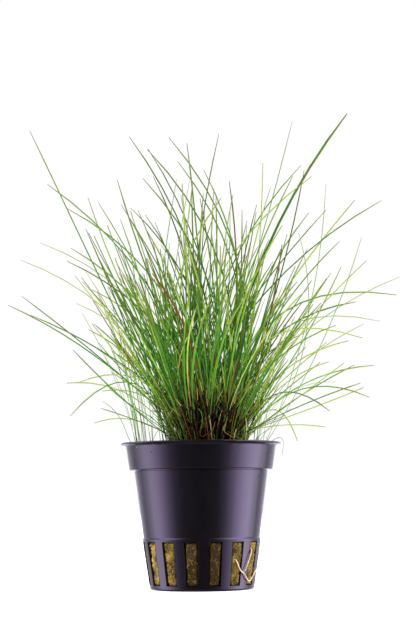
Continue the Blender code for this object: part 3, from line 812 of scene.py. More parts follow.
@dataclass(frozen=True)
class NetPot:
    """The pot: a turned wall with slots low down, and a slotted floor."""

    shape: PotShape = PotShape()
    slots: int = 15
    first_slot: float = math.radians(13.6)
    slot_bottom: float = 1.7 * MM
    slot_top: float = 16.3 * MM
    slot_width_bottom: float = 4.2 * MM
    slot_width_top: float = 4.8 * MM
    slot_flare: float = 0.6
    slot_rows: int = 9
    slot_columns: int = 6
    bar_columns: int = 6
    floor_slots: int = 5
    floor_slot_width: float = 2.4 * MM
    floor_slot_radii: tuple[float, ...] = (14.0 * MM, 11.0 * MM, 8.0 * MM, 5.5 * MM)
    floor_slot_columns: int = 4
    floor_slot_side: float = math.radians(-4.2)
    floor_rim: float = 15.8 * MM
    floor_hub: float = 2.5 * MM
    floor_least: float = 4.0 * MM
    body_rows: tuple[float, ...] = (20.5, 24.0, 28.0, 32.0, 36.0, 39.0, 40.05)
    groove_rows: tuple[float, ...] = (40.1, 40.5)
    band_rows: tuple[float, ...] = (42.0, 44.0, 46.0, 47.6)
    inner_band_rows: tuple[float, ...] = (47.0, 44.0)
    arc_rows: int = 7
    lip_rows: int = 8
    uneven_above: float = 48.5 * MM
    lip_unevenness: float = 0.055 * MM
    edge_round: float = 0.19 * MM
    sharp_past: float = math.radians(35)
    rounded_past: float = math.radians(40)

    def columns(self) -> int:
        """How many columns of points go round the pot."""
        return self.slots * (self.slot_columns + self.bar_columns)

    def slot_heights(self) -> Array:
        """The heights of the rows along a slot."""
        return np.linspace(self.slot_bottom, self.slot_top, self.slot_rows)

    def wall_azimuths(self, radius: float, height: float) -> Array:
        """Azimuths of one row's columns, which follow the slots' straight sides.

        Across a slot the columns are evenly spaced along its width w, at
        asin(s w / 2 r) for s from -1 to 1, and between slots they are evenly
        spaced in angle.

        Args:
            radius: The row's radius.
            height: The row's height.

        Returns:
            One azimuth for each column.
        """
        reach = np.clip(height, self.slot_bottom, self.slot_top)
        share = (reach - self.slot_bottom) / (self.slot_top - self.slot_bottom)
        width = self.slot_width_bottom + share * (self.slot_width_top - self.slot_width_bottom)
        deepest = self.shape.wall + self.shape.ridge
        depth = np.clip(self.shape.ridge_radius(reach) - radius, 0.0, deepest)
        width = float(width - self.slot_flare * depth)
        in_slot = np.linspace(-1, 1, self.slot_columns + 1)[:-1]
        pitch = TAU / self.slots
        edge = math.asin(width / 2 / radius)
        across = np.arcsin(in_slot * width / 2 / radius)
        bar = edge + np.arange(self.bar_columns) / self.bar_columns * (pitch - 2 * edge)
        period = np.concatenate([across, bar])
        starts = self.first_slot + np.arange(self.slots)[:, None] * pitch
        return (starts + period).ravel()

    def floor_azimuths(self, radius: float) -> Array:
        """Azimuths of a floor row's columns, drawn in to the sides of the floor's slots.

        The columns on either side of each floor slot at azimuth c go to
        c -/+ asin(w / 2 r), and the others keep their even share between them.

        Args:
            radius: The row's radius.

        Returns:
            One azimuth for each column.
        """
        pitch = TAU / self.floor_slots
        half = math.asin(self.floor_slot_width / 2 / radius)
        number = np.arange(-1, self.floor_slots + 1)[:, None]
        known = number * (self.columns() // self.floor_slots) + [0, self.floor_slot_columns]
        wanted = number * pitch + [-half, half]
        spots = np.arange(self.columns()) - self.first_floor_column()
        return np.interp(spots, known.ravel(), wanted.ravel())

    def first_floor_column(self) -> int:
        """The column nearest the left side of the first floor slot."""
        base = self.wall_azimuths(self.shape.body_foot_radius, 0.0)
        return int(np.argmin(np.abs(base - self.floor_slot_side % TAU)))

    def section(self) -> tuple[Array, Array]:
        """The pot's section: up its outside, over the lip and down its inside.

        Each of the rounded corners is a quarter of an ellipse, and the lip's edge is
        half a circle.

        Returns:
            Radii and heights of the rows, from the underside's middle to the floor's.
        """
        shape = self.shape
        body, groove, band, inner_band = (
            [height * MM for height in rows]
            for rows in (self.body_rows, self.groove_rows, self.band_rows, self.inner_band_rows)
        )
        slot_z = self.slot_heights()
        quarter = np.linspace(0, 1, self.arc_rows) * math.pi / 2
        out, up = np.sin(quarter), 1 - np.cos(quarter)
        half_turn = np.linspace(-1, 1, self.lip_rows + 1)[1:] * math.pi / 2
        foot_centre = shape.ridge_radius(shape.foot_round) - shape.foot_round
        band_centre = shape.band_radius(shape.step_height) - shape.band_round
        edge = shape.lip_thickness / 2
        lip_out = shape.lip_radius - edge
        reach = lip_out - shape.band_radius(shape.band_top)
        drop = shape.lip_top - shape.lip_thickness - shape.band_top
        shelf = shape.step_height + shape.wall
        rows = [
            [(r, 0.0) for r in (self.floor_hub, *self.floor_slot_radii[::-1], self.floor_rim)],
            zip(foot_centre + shape.foot_round * out, shape.foot_round * up),
            [(shape.ridge_radius(z), z) for z in (*slot_z, shape.ridge_top)],
            [(shape.body_radius(z), z) for z in (shape.ridge_top + shape.ridge_fade, *body)],
            [(shape.body_radius(z) - shape.groove, z) for z in groove],
            zip(band_centre + shape.band_round * out, shape.step_height + shape.band_round * up),
            [(shape.band_radius(z), z) for z in band],
            zip(lip_out - reach * (1 - up), shape.band_top + drop * out),
            zip(lip_out + edge * np.cos(half_turn), shape.lip_top - edge + edge * np.sin(half_turn)),
            [(shape.lip_inner_radius, shape.lip_top)],
            [(shape.band_radius(z) - shape.wall, z) for z in (shape.band_top, *inner_band, shelf)],
            [(shape.body_radius(z) - shape.wall, z) for z in (shelf, *body[-3::-2], *slot_z[::-1])],
            [(shape.body_radius(shape.floor) - shape.wall, shape.floor)],
            [(r, shape.floor) for r in (self.floor_rim, *self.floor_slot_radii, self.floor_hub)],
        ]
        points = np.array([point for group in rows for point in group])
        return points[:, 0], points[:, 1]

    def grid(self) -> tuple[Array, Array, Array]:
        """The points of all rows and columns, with the lip a little uneven.

        Returns:
            The points, and the radius and the height of each row.
        """
        radii, heights = self.section()
        reach = self.floor_slot_radii[0]
        azimuths = []
        for radius, height in zip(radii, heights):
            if height in (0.0, self.shape.floor) and radius <= reach:
                azimuths.append(self.floor_azimuths(max(radius, self.floor_least)))
            else:
                azimuths.append(self.wall_azimuths(max(radius, reach), height))
        turn = np.array(azimuths)
        uneven = (heights > self.uneven_above)[:, None] * self.lip_unevenness
        out = uneven * ripple(turn, 7, 60, 11)
        lift = uneven * 0.7 * ripple(turn, 9, 48, 12)
        return around(turn, radii[:, None] + out, heights[:, None] + lift), radii, heights

    def surface(self) -> Surface:
        """The closed shell: rows and columns of faces, less the slots, plus their sides.

        Returns:
            The shell, open at its slots.
        """
        points, radii, heights = self.grid()
        rows, columns, _ = points.shape
        index = np.arange(rows * columns).reshape(rows, columns)
        kept = np.ones((rows - 1, columns), bool)
        walls = []
        found = [np.flatnonzero(np.isclose(heights, z)) for z in self.slot_heights()]
        outer, inner = ([spots[end] for spots in found] for end in (0, -1))
        for number in range(self.slots):
            span = number * columns // self.slots + np.arange(self.slot_columns + 1)
            walls += self.cut(kept, index, outer, inner, span % columns)
        under, over = (
            [np.flatnonzero(np.isclose(radii, r) & (heights == level))[0] for r in self.floor_slot_radii]
            for level in (0.0, self.shape.floor)
        )
        first = self.first_floor_column()
        for number in range(self.floor_slots):
            span = first + number * columns // self.floor_slots + np.arange(self.floor_slot_columns + 1)
            walls += self.cut(kept, index, under[::-1], over[::-1], span % columns)
        poles = np.array([[0.0, 0.0, 0.0], [0.0, 0.0, self.shape.floor]])
        return Surface(
            np.concatenate([points.reshape(-1, 3), poles]),
            np.concatenate([between_rings(index)[kept], *walls]),
            to_poles(index),
        )

    @staticmethod
    def cut(
        kept: Array, index: Array, outer: Sequence[int], inner: Sequence[int], span: Array
    ) -> list[Array]:
        """Opens one slot and closes its sides.

        Args:
            kept: Which faces of the grid stay, changed here.
            index: The number of each point of the grid.
            outer: The slot's rows on the outside, from one end to the other.
            inner: The matching rows on the inside.
            span: The slot's columns.

        Returns:
            The faces of the slot's two sides and two ends.
        """
        for rows in (outer, inner):
            for start, end in zip(rows[:-1], rows[1:]):
                kept[min(start, end), span[:-1]] = False
        out, back = index[np.array(outer)], index[np.array(inner)]
        left, right = span[0], span[-1]
        strips = (
            (out[:, left], back[:, left]),
            (back[:, right], out[:, right]),
            (back[0, span], out[0, span]),
            (out[-1, span], back[-1, span]),
        )
        return [np.stack([a[:-1], a[1:], b[1:], b[:-1]], axis=-1) for a, b in strips]

    def build(self) -> None:
        """Makes the pot, rounds its edges and dresses it in plastic."""
        piece = self.surface().to_piece(
            "net_pot_moulded", PotPlastic().material(), "pot_plastic", ["net_pot"]
        )
        piece.data.set_sharp_from_angle(angle=self.sharp_past)
        edges = piece.modifiers.new("Rounded edges", "BEVEL")
        edges.limit_method = "ANGLE"
        edges.angle_limit = self.rounded_past
        edges.width = self.edge_round
        edges.segments = 2
        edges.harden_normals = True


# The plan of the tufts and of their main culms


def bezier(start: Array, control: Array, tip: Array, t: Array) -> Array:
    """Points (1-t)^2 start + 2t(1-t) control + t^2 tip at the shares t."""
    return (1 - t) ** 2 * start + 2 * t * (1 - t) * control + t**2 * tip


@dataclass
class Culm:
    """One main culm: a quadratic curve from its sheath's top to its tip."""

    sector: int
    start: Array
    control: Array
    tip: Array
    landmark: int = -1

    def leaving(self) -> Array:
        """The unit direction in which the culm leaves its sheath."""
        return unit(self.control - self.start)

    def at(self, shares: Array) -> Array:
        """Points of the culm at these shares of its curve."""
        return bezier(self.start, self.control, self.tip, shares[:, None])


@dataclass
class Tuft:
    """A sheath that stands on the wool, with the main culms that grow from its top."""

    name: str
    foot: Array
    axis: Array
    length: float
    sides: int
    foot_radius: float
    top_radius: float
    culms: list[Culm] = field(default_factory=list)

    def top_centre(self) -> Array:
        """The middle of the sheath's top."""
        return self.foot + self.axis * self.length

    def top_corners(self) -> Array:
        """The corners of the sheath's top.

        Returns:
            Points of shape (sides, 3).
        """
        across, along = square_to(self.axis)
        angles = np.arange(self.sides) * TAU / self.sides
        rim = np.outer(np.cos(angles), across) + np.outer(np.sin(angles), along)
        return self.top_centre() + rim * self.top_radius

    def sector_centre(self, sector: int) -> Array:
        """The middle of one triangle of the top, where a main culm starts.

        Args:
            sector: The triangle's number.

        Returns:
            The point.
        """
        corners = self.top_corners()
        pair = corners[sector] + corners[(sector + 1) % self.sides]
        return (self.top_centre() + pair) / 3

    def free_sectors(self) -> list[int]:
        """The sectors that hold no culm yet."""
        taken = {culm.sector for culm in self.culms}
        return [sector for sector in range(self.sides) if sector not in taken]


class Clearances:
    """The straight pieces already placed, to keep each new main culm clear of them."""

    def __init__(self) -> None:
        """Starts with nothing placed."""
        self.starts = np.empty((0, 3))
        self.ends = np.empty((0, 3))
        self.radii = np.empty(0)

    def add(self, points: Array, radius: float) -> None:
        """Adds a chain of points.

        Args:
            points: The chain.
            radius: How thick it is.
        """
        self.starts = np.vstack([self.starts, points[:-1]])
        self.ends = np.vstack([self.ends, points[1:]])
        self.radii = np.append(self.radii, np.full(len(points) - 1, radius))

    def least(self, points: Array, radius: float, ignored: Array) -> float:
        """The smallest free space between a new chain of points and what is placed.

        Args:
            points: The chain.
            radius: How thick it is.
            ignored: Which of the placed pieces don't count.

        Returns:
            The least gap, below zero where the chain cuts into a piece.
        """
        least = math.inf
        for start, end in zip(points[:-1], points[1:]):
            gaps = segment_distances(start, end, self.starts, self.ends)
            free = gaps - self.radii - radius
            free[ignored] = math.inf
            least = min(least, free.min())
        return least


def square_to(axis: Array) -> tuple[Array, Array]:
    """Two unit vectors square to the axis: X and Y turned with +Z onto it.

    Args:
        axis: A unit vector that doesn't point straight down.

    Returns:
        The turned X and the turned Y.
    """
    lean = np.array([-axis[1], axis[0], 0.0])
    cross = np.array([[0, 0, lean[1]], [0, 0, -lean[0]], [-lean[1], lean[0], 0]])
    turn = np.eye(3) + cross + cross @ cross / (1 + axis[2])
    return turn[:, 0], turn[:, 1]


def segment_distances(start: Array, end: Array, starts: Array, ends: Array) -> Array:
    """Distances from one segment to many, by clamping the nearest points of the lines.

    Args:
        start: Where the one starts.
        end: Where it ends.
        starts: Where the others start.
        ends: Where they end.

    Returns:
        The distance to each of the others.
    """
    own, other = end - start, ends - starts
    between = start - starts
    own_sq = own @ own
    other_sq = np.einsum("ij,ij->i", other, other)
    mixed = other @ own
    own_lead = between @ own
    other_lead = np.einsum("ij,ij->i", other, between)
    spread = np.maximum(own_sq * other_sq - mixed**2, 1e-18)
    share = np.clip((mixed * other_lead - own_lead * other_sq) / spread, 0, 1)
    other_share = np.clip((mixed * share + other_lead) / other_sq, 0, 1)
    share = np.clip((mixed * other_share - own_lead) / own_sq, 0, 1)
    near = between + share[:, None] * own - other_share[:, None] * other
    return np.linalg.norm(near, axis=1)


def smooth_path(points: Sequence[Point], steps: int) -> Array:
    """A Catmull-Rom curve through points in millimetres.

    Args:
        points: The points to pass through.
        steps: How many steps to take between one point and the next.

    Returns:
        The curve's points in metres.
    """
    given = np.array(points) * MM
    ends = np.vstack([2 * given[0] - given[1], given, 2 * given[-1] - given[-2]])
    before, start, end, after = (ends[k : len(ends) - 3 + k, None] for k in range(4))
    t = (np.arange(1, steps + 1) / steps)[None, :, None]
    path = (
        start
        + t * (end - before) / 2
        + t**2 * (2 * before - 5 * start + 4 * end - after) / 2
        + t**3 * (3 * (start - end) + after - before) / 2
    )
    return np.vstack([given[:1], path.reshape(-1, 3)])


# Landmark culms of the plant, in millimetres: x of the foot at the rim's height,
# x, y and z of the tip, and the bow. The bow is how far the curve's middle control
# point stands to the left of the straight line to the tip, seen from the front.
LANDMARK_CULMS = (
    (-9, -60, 5, 161.5, 0),
    (2, -52, -12, 138.5, -20),
    (1, -48.5, 20, 136.5, -26),
    (0, -38.5, -6, 135, 6),
    (3, -37, 26, 139.5, -6),
    (4, -29, 8, 144, 4),
    (12, -26, -26, 128.5, -5),
    (1, -24.5, 14, 135, -22),
    (-6, -26.5, -20, 124.5, -3),
    (6, -25, 15, 161.5, -19),
    (9, -17.5, -14, 150, -26),
    (7, -18.5, 24, 159, -18),
    (12, -10.5, 6, 159, -28),
    (11, -7, -22, 144, -23),
    (9, 2, 18, 149.5, -19),
    (-2, 7.5, 12, 161.5, 7),
    (7, -18.5, -30, 136.5, -21),
    (2, -16, 2, 144, -10),
    (-17, -7.5, -12, 140, 4),
    (-2, -5.5, -26, 135.5, 0),
    (-12, -3, 16, 146.5, 4),
    (-9, -2, -8, 139.5, 2),
    (5, 0.5, 30, 141.5, -5),
    (1, -43, -22, 114.5, -16),
    (-2, -57, 14, 122.5, -25),
    (5, -46.5, 2, 114, -15),
    (-4, -62, -4, 113.5, -19),
    (-4, -63, 8, 102.5, -1),
    (0, -58, -10, 93.5, -7),
    (-5, -66.5, -2, 98, -7),
    (-24, -40.5, -6, 94.5, -4),
    (-10, -43, -14, 81, 2),
    (-9, -47, 8, 71.5, -12),
    (-9, -42, -10, 70, -22),
    (-7, -45, 0, 59.5, -30),
    (-10, -35, 14, 69, -12),
    (-12, -33.5, -16, 61, -1),
    (-11, -37, 2, 57, -7),
    (-8, -40, 18, 91.5, -10),
    (-5, -41, -24, 95.5, -14),
    (0, -39, 22, 106.5, -17),
    (-19, -40.5, 10, 111.5, -9),
    (6, 52, -8, 163.5, 15),
    (1, 33, -5, 161.5, -2),
    (11, 23.5, 18, 152, -4),
    (-2, 37.5, 20, 151.5, 21),
    (0, 32, -20, 139, 5),
    (8, 38, 10, 147.5, -5),
    (-11, 39, -12, 140.5, 25),
    (21, 45.5, 8, 142, -9),
    (0, 56, 10, 136.5, 5),
    (-5, 63.5, -6, 133, 18),
    (22, 56, -10, 119.5, -6),
    (5, 59, 4, 113.5, 3),
    (5, 47, -26, 115.5, 10),
    (7, 70, 0, 107, 13),
    (7, 70, 10, 102, 37),
    (8, 57, 24, 101.5, 22),
    (8, 62, -8, 90.5, 34),
    (12, 58.5, 12, 92, 8),
    (13, 54.5, -20, 83.5, 37),
    (14, 52, 2, 85, 14),
    (10, 45, -28, 87, 13),
    (17, 50.5, 5, 77.5, 0),
    (17, 59, -12, 75, 11),
    (15, 55, 14, 77.5, 3),
    (17, 45.5, -18, 69, 14),
    (15, 58.5, 0, 65, 19),
    (13, 55, -6, 69.5, 2),
    (13, 57.5, 8, 69, -1),
    (15, 43.5, -14, 59.5, 20),
    (15, 43.5, 4, 55, 3),
    (15, 34, 10, 50.5, 20),
    (15, 46.5, 22, 79.5, 8),
    (17, 43.5, -8, 83.5, 2),
    (21, 36, 16, 126, -20),
    (3, 40.5, 26, 135, 10),
    (-7, 43.5, -16, 128, 7),
    (12, 27.5, -30, 114, -3),
    (7, 10.5, -15, 138.5, -8),
    (-8, 7.5, -28, 130, 20),
    (4, 12, -4, 136, 3),
    (10, 16, 28, 136.5, -3),
    (13, 48, -18, 108, -4),
)

DEAD_LEAF_ROUTE = (
    (21.5, -3.5, 47.1),
    (23.5, -4.0, 49.2),
    (25.8, -4.3, 50.9),
    (27.5, -4.5, 51.0),
    (28.2, -4.6, 49.7),
    (28.1, -4.7, 47.5),
    (27.7, -4.8, 44.6),
)


@dataclass(frozen=True)
class Planting:
    """Where the tufts stand and how their main culms grow, by the solids' own rules."""

    seed: int = 41
    rings: int = 3
    spacing: float = 3.4 * MM
    grid_turn: float = math.radians(11.0)
    foot_height: float = 46.8 * MM
    foot_jitter: float = 0.08 * MM
    sheath_sides: int = 6
    sheath_foot_radius: float = 1.42 * MM
    sheath_top_radius: float = 1.22 * MM
    sheath_length: float = 13.0 * MM
    sheath_shortening: float = 0.62
    fan_depth: float = 17.65 * MM
    clump_x: float = 2.6 * MM
    rim_azimuths: tuple[float, ...] = (-48, -66, -84, -101, -119, -141, -166, 171, 147, 121, 99, 58)
    rim_radius: float = 21.9 * MM
    rim_sides: int = 4
    rim_foot_radius: float = 0.85 * MM
    rim_top_radius: float = 0.8 * MM
    rim_length: float = 2.2 * MM
    rim_lean: float = math.radians(7.0)
    culm_radius: float = 0.29 * MM
    culm_neck: float = 3.2 * MM
    culm_clearance: float = 0.06 * MM
    culm_tries: int = 240
    straight_bow: float = 3.0 * MM
    bent_stations: tuple[float, ...] = (0.42, 0.72)
    straight_stations: tuple[float, ...] = (0.55,)
    culm_lengths: tuple[float, float, float] = (49.5 * MM, 109 * MM, 71 * MM)
    shorter_per_radian: float = 0.9
    facing_reach: float = 0.6
    spread_degrees: Range = (0, 3)
    arch_degrees: tuple[float, float, float] = (-7, 23, 5.5)
    facing_arch_degrees: float = 50
    sway_degrees: float = 37
    toss: float = 0.04
    rim_culm_lengths: Range = (26 * MM, 72 * MM)
    rim_arch_degrees: Range = (-4, 26)
    depth_share: float = 0.4
    depth_weight: float = 0.35
    wrong_side: float = 2.0 * MM
    wrong_lean: float = 4.0 * MM
    most_cost: float = 14.0 * MM
    least_along: float = 0.62
    straight_up: float = 0.12
    pot_height: float = 50.0 * MM
    rim_inner_clear: float = 24.2 * MM
    rim_outer_clear: float = 28.3 * MM
    rim_top_clear: float = 50.7 * MM
    wool_clear: float = 47.3 * MM
    leaf_radius: float = 0.22 * MM

    def at_rim(self, tuft: Tuft) -> bool:
        """Whether this is one of the small tufts round the rim."""
        return tuft.sides == self.rim_sides

    def grid_feet(self) -> list[tuple[float, float]]:
        """Feet of the middle tufts on a triangular grid, ring by ring, a little shifted.

        Returns:
            Their x and y, the nearest to the middle first.
        """
        chance = random.Random(self.seed)
        feet = []
        for a in range(-self.rings, self.rings + 1):
            for b in range(-self.rings, self.rings + 1):
                if abs(a + b) > self.rings:
                    continue
                across = self.spacing * (a + b / 2)
                along = self.spacing * b * math.sqrt(3) / 2
                x = across * math.cos(self.grid_turn) - along * math.sin(self.grid_turn)
                y = across * math.sin(self.grid_turn) + along * math.cos(self.grid_turn)
                x += chance.uniform(-self.foot_jitter, self.foot_jitter)
                y += chance.uniform(-self.foot_jitter, self.foot_jitter)
                feet.append((x, y))
        return sorted(feet, key=lambda foot: math.hypot(*foot))

    def tufts(self) -> list[Tuft]:
        """The middle tufts, which fan out from a point below the wool, and the rim's.

        Returns:
            The tufts, without culms.
        """
        tufts = []
        for x, y in self.grid_feet():
            foot = np.array([self.clump_x + x, y, self.foot_height])
            axis = unit(np.array([x, y, self.fan_depth]))
            length = self.sheath_length - self.sheath_shortening * math.hypot(x, y)
            radii = (self.sheath_foot_radius, self.sheath_top_radius)
            name = f"tuft_{len(tufts) + 1:02d}"
            tufts.append(Tuft(name, foot, axis, length, self.sheath_sides, *radii))
        for number, azimuth in enumerate(map(math.radians, self.rim_azimuths), 1):
            foot = around(azimuth, self.rim_radius, self.foot_height)
            axis = around(azimuth, math.sin(self.rim_lean), math.cos(self.rim_lean))
            radii = (self.rim_foot_radius, self.rim_top_radius)
            name = f"rim_tuft_{number:02d}"
            tufts.append(Tuft(name, foot, axis, self.rim_length, self.rim_sides, *radii))
        return tufts

    def stations(self, culm: Culm) -> Array:
        """The shares at which the solid culm has its rings.

        Args:
            culm: The culm, which has one more ring where it bends more.

        Returns:
            The shares of its curve, from 0 to 1.
        """
        chord = np.linalg.norm(culm.tip - culm.start)
        middle = (culm.start + culm.tip) / 2
        bow = np.linalg.norm(culm.control - middle)
        inner = self.bent_stations if bow > self.straight_bow else self.straight_stations
        return np.array([0.0, self.culm_neck / chord, *inner, 1.0])

    def random_culm(self, chance: random.Random, tuft: Tuft, sector: int) -> Culm:
        """A culm that leaves the sheath on its own side, arches over and is tossed about.

        Args:
            chance: The plan's random numbers.
            tuft: The tuft that it grows from.
            sector: Where on the sheath's top it starts.

        Returns:
            The culm, which may cross another one.
        """
        start = tuft.sector_centre(sector)
        side = unit(start - tuft.top_centre())
        spread = math.tan(math.radians(chance.uniform(*self.spread_degrees)))
        leaving = unit(tuft.axis + spread * side)
        lean = math.acos(leaving[2])
        if self.at_rim(tuft):
            length = chance.uniform(*self.rim_culm_lengths)
            arch = chance.uniform(*self.rim_arch_degrees)
        else:
            facing = leaving[1] ** 2 / (leaving[0] ** 2 + leaving[1] ** 2)
            shorter = self.shorter_per_radian * lean * (1 - self.facing_reach * facing)
            length = chance.triangular(*self.culm_lengths) * (1 - shorter)
            arch = chance.triangular(*self.arch_degrees)
            arch += self.facing_arch_degrees * facing * math.sin(lean)
        sway = math.radians(chance.uniform(-self.sway_degrees, self.sway_degrees))
        toss = [chance.uniform(-self.toss, self.toss), chance.uniform(-self.toss, self.toss), 0.0]
        control = start + leaving * length / 2
        tipped = lean + math.radians(arch)
        heading = math.atan2(leaving[1], leaving[0]) + sway
        flat = math.sin(tipped)
        onward = [flat * math.cos(heading), flat * math.sin(heading), math.cos(tipped)]
        onward = unit(np.array(onward) + np.array(toss))
        return Culm(sector, start, control, control + onward * length / 2)

    def clear_of_pot(self, points: Array) -> Array:
        """Whether lines of points pass inside the rim or above it, and above the wool.

        Args:
            points: Points of shape (n, 3), or many lines of them.

        Returns:
            True or False for each line.
        """
        radius = np.hypot(points[..., 0], points[..., 1])
        at_rim = (radius > self.rim_inner_clear) & (radius < self.rim_outer_clear)
        too_low = at_rim & (points[..., 2] < self.rim_top_clear)
        return ~too_low.any(axis=-1) & (points[..., 2].min(axis=-1) > self.wool_clear)

    def fits(self, culm: Culm, placed: Clearances, own_sheath: int) -> bool:
        """Whether a culm has room.

        Args:
            culm: The culm.
            placed: All that it has to clear, besides the pot.
            own_sheath: The number of its own sheath, which it may touch.

        Returns:
            Whether it is clear of the pot and of all that is placed.
        """
        ignored = np.arange(len(placed.radii)) == own_sheath
        points = culm.at(self.stations(culm))
        own = self.culm_radius + self.culm_clearance
        if not self.clear_of_pot(culm.at(np.linspace(0, 1, 25))):
            return False
        return placed.least(points[1:], own, ignored) > 0

    def keep(self, tuft: Tuft, culm: Culm, placed: Clearances) -> None:
        """Gives the culm to its tuft and marks its space as taken."""
        tuft.culms.append(culm)
        placed.add(culm.at(self.stations(culm))[1:], self.culm_radius)

    def sector_cost(self, tuft: Tuft, culm: Culm, foot_x: float) -> float:
        """How ill a sector suits a landmark culm, as a length.

        Args:
            tuft: The tuft of the sector.
            culm: The culm as it would grow from there.
            foot_x: Where the culm should pass the rim's height.

        Returns:
            The way that the sheath stands off in x, plus a share of the way in y, plus
            what it costs to leave the sheath on the wrong side or at a slant. The cost
            is endless when the culm would cross its own sheath's top.
        """
        passing = tuft.foot + tuft.axis * (self.pot_height - self.foot_height) / tuft.axis[2]
        leaving = culm.leaving()
        along = leaving @ tuft.axis
        aside = leaving - along * tuft.axis
        own_side = unit(aside) @ unit(culm.start - tuft.top_centre())
        crosses = own_side < 0 and np.linalg.norm(aside) > self.straight_up
        if along < self.least_along or crosses:
            return math.inf
        off_x = abs(passing[0] - foot_x)
        off_y = abs(passing[1] - self.depth_share * culm.tip[1])
        turn = self.wrong_side * (1 - own_side) + self.wrong_lean * (1 - along)
        return off_x + self.depth_weight * off_y + turn

    def place_landmark(self, row: int, tufts: list[Tuft], placed: Clearances) -> None:
        """Grows a landmark culm from the free sector that suits it best and has room.

        Its control point stands off the middle of the straight line from its start to
        its tip, to the left by its bow.

        Args:
            row: Its row in the list of landmark culms.
            tufts: All the tufts, in the order in which their sheaths were placed.
            placed: What it has to clear, to which it is added.
        """
        foot_x, x, y, z, bow = LANDMARK_CULMS[row]
        tip = np.array([x, y, z]) * MM
        choices = []
        for own_sheath, tuft in enumerate(tufts):
            for sector in tuft.free_sectors():
                start = tuft.sector_centre(sector)
                chord = unit(tip - start)
                leftwards = unit(np.array([-chord[2], 0.0, chord[0]]))
                control = (start + tip) / 2 + bow * MM * leftwards
                culm = Culm(sector, start, control, tip, landmark=row)
                choices.append((self.sector_cost(tuft, culm, foot_x * MM), own_sheath, culm))
        for cost, own_sheath, culm in sorted(choices, key=lambda choice: choice[0]):
            if cost > self.most_cost:
                return
            if self.fits(culm, placed, own_sheath):
                self.keep(tufts[own_sheath], culm, placed)
                return

    def planted(self) -> list[Tuft]:
        """All the tufts with their main culms: landmarks first, then the rest by chance.

        Returns:
            The tufts, in the order of their numbers.
        """
        tufts = self.tufts()
        placed = Clearances()
        for tuft in tufts:
            placed.add(np.array([tuft.foot, tuft.top_centre()]), tuft.foot_radius)
        placed.add(smooth_path(DEAD_LEAF_ROUTE, 2), self.leaf_radius)
        for row in range(len(LANDMARK_CULMS)):
            self.place_landmark(row, tufts, placed)
        chance = random.Random(self.seed)
        for own_sheath, tuft in enumerate(tufts):
            for sector in tuft.free_sectors():
                for _ in range(self.culm_tries):
                    culm = self.random_culm(chance, tuft, sector)
                    if self.fits(culm, placed, own_sheath):
                        self.keep(tuft, culm, placed)
                        break
        log.info("planned %d main culms", sum(len(tuft.culms) for tuft in tufts))
        return tufts


# The grass


class Age(Enum):
    """A culm's age: how often it occurs, its tones' ends, and how dry its skin is."""

    FRESH = (0.44, 0.28, 0.68, 0.0)
    DARK = (0.29, 0.0, 0.26, 0.0)
    YELLOWING = (0.23, 0.68, 0.98, 0.0)
    DRY = (0.012, 0.0, 0.22, 1.0)


@dataclass(frozen=True)
class CulmLook:
    """The look of one landmark culm: its tone, its radius and how dry it is."""

    tone: float
    radius: float = 0.27 * MM
    dry: float = 0.0


# Landmark culms that look unlike the others, by their rows: among them the one thick
# dark culm at the upper right, thin pale ones at the sides and two half dry ones.
LANDMARK_LOOKS = {
    0: CulmLook(0.45),
    42: CulmLook(0.18, radius=0.54 * MM),
    43: CulmLook(0.50, radius=0.19 * MM),
    52: CulmLook(0.70, radius=0.30 * MM),
    **dict.fromkeys((24, 26, 39, 55, 58, 59, 75), CulmLook(0.80, radius=0.18 * MM, dry=0.15)),
    **dict.fromkeys((48, 81), CulmLook(0.88)),
    **dict.fromkeys((78, 79), CulmLook(0.20, dry=0.6)),
}


@dataclass(frozen=True)
class Habit:
    """How one kind of finer culm grows: how many to a tuft, how long and how bent.

    The counts are for the clump's left side, its middle and its right side. A length
    or an arch is drawn between its ends about its middle value. The length shrinks
    with the lean by the shares for culms that head left and right, and less so by
    facing_reach for those that head to the front or the back. The two arches in
    degrees grow with the lean, and the tosses turn a culm where it leaves and bends.
    """

    counts: tuple[float, float, float]
    lengths: tuple[float, float, float]
    shorter: Range
    facing_reach: float
    spread: float
    arch: tuple[float, float, float]
    side_arch: float
    facing_arch: float
    toss: Range
    swing: float = 40
    dead: bool = False

    def count(self, tuft: Tuft, planting: Planting, off_middle: float) -> int:
        """How many of these culms a tuft has.

        Args:
            tuft: The tuft.
            planting: The plan, whose clump has a left and a right side.
            off_middle: How far to one side the tuft stands, from 0 to 1.

        Returns:
            A number between the middle's and its side's.
        """
        left, middle, right = self.counts
        side = left if tuft.foot[0] < planting.clump_x else right
        return round(middle * (1 - off_middle) + side * off_middle)


# Culms that make up most of the clump, longer ones that stand out of it, and dead
# stubs inside its foot.
SHORT_CULMS = Habit(
    counts=(10.3, 13.7, 7.7),
    lengths=(55 * MM, 84 * MM, 101 * MM),
    shorter=(1.28, 1.20),
    facing_reach=-0.16,
    spread=16.8,
    arch=(-26.0, 11.4, 28.2),
    side_arch=-23,
    facing_arch=41,
    toss=(0.44, 0.42),
)
LONG_CULMS = Habit(
    counts=(0.8, 0.6, 5.2),
    lengths=(53 * MM, 84 * MM, 97 * MM),
    shorter=(0.38, 1.17),
    facing_reach=0.45,
    spread=4.8,
    arch=(-3.7, 4.5, 5.3),
    side_arch=-16,
    facing_arch=17,
    toss=(0.58, 0.19),
)
DEAD_STUBS = Habit(
    counts=(4, 10, 6),
    lengths=(10 * MM, 18 * MM, 38 * MM),
    shorter=(0.5, 0.5),
    facing_reach=0.5,
    spread=10,
    arch=(-10, 5, 25),
    side_arch=0,
    facing_arch=0,
    toss=(0.16, 0.25),
    dead=True,
)


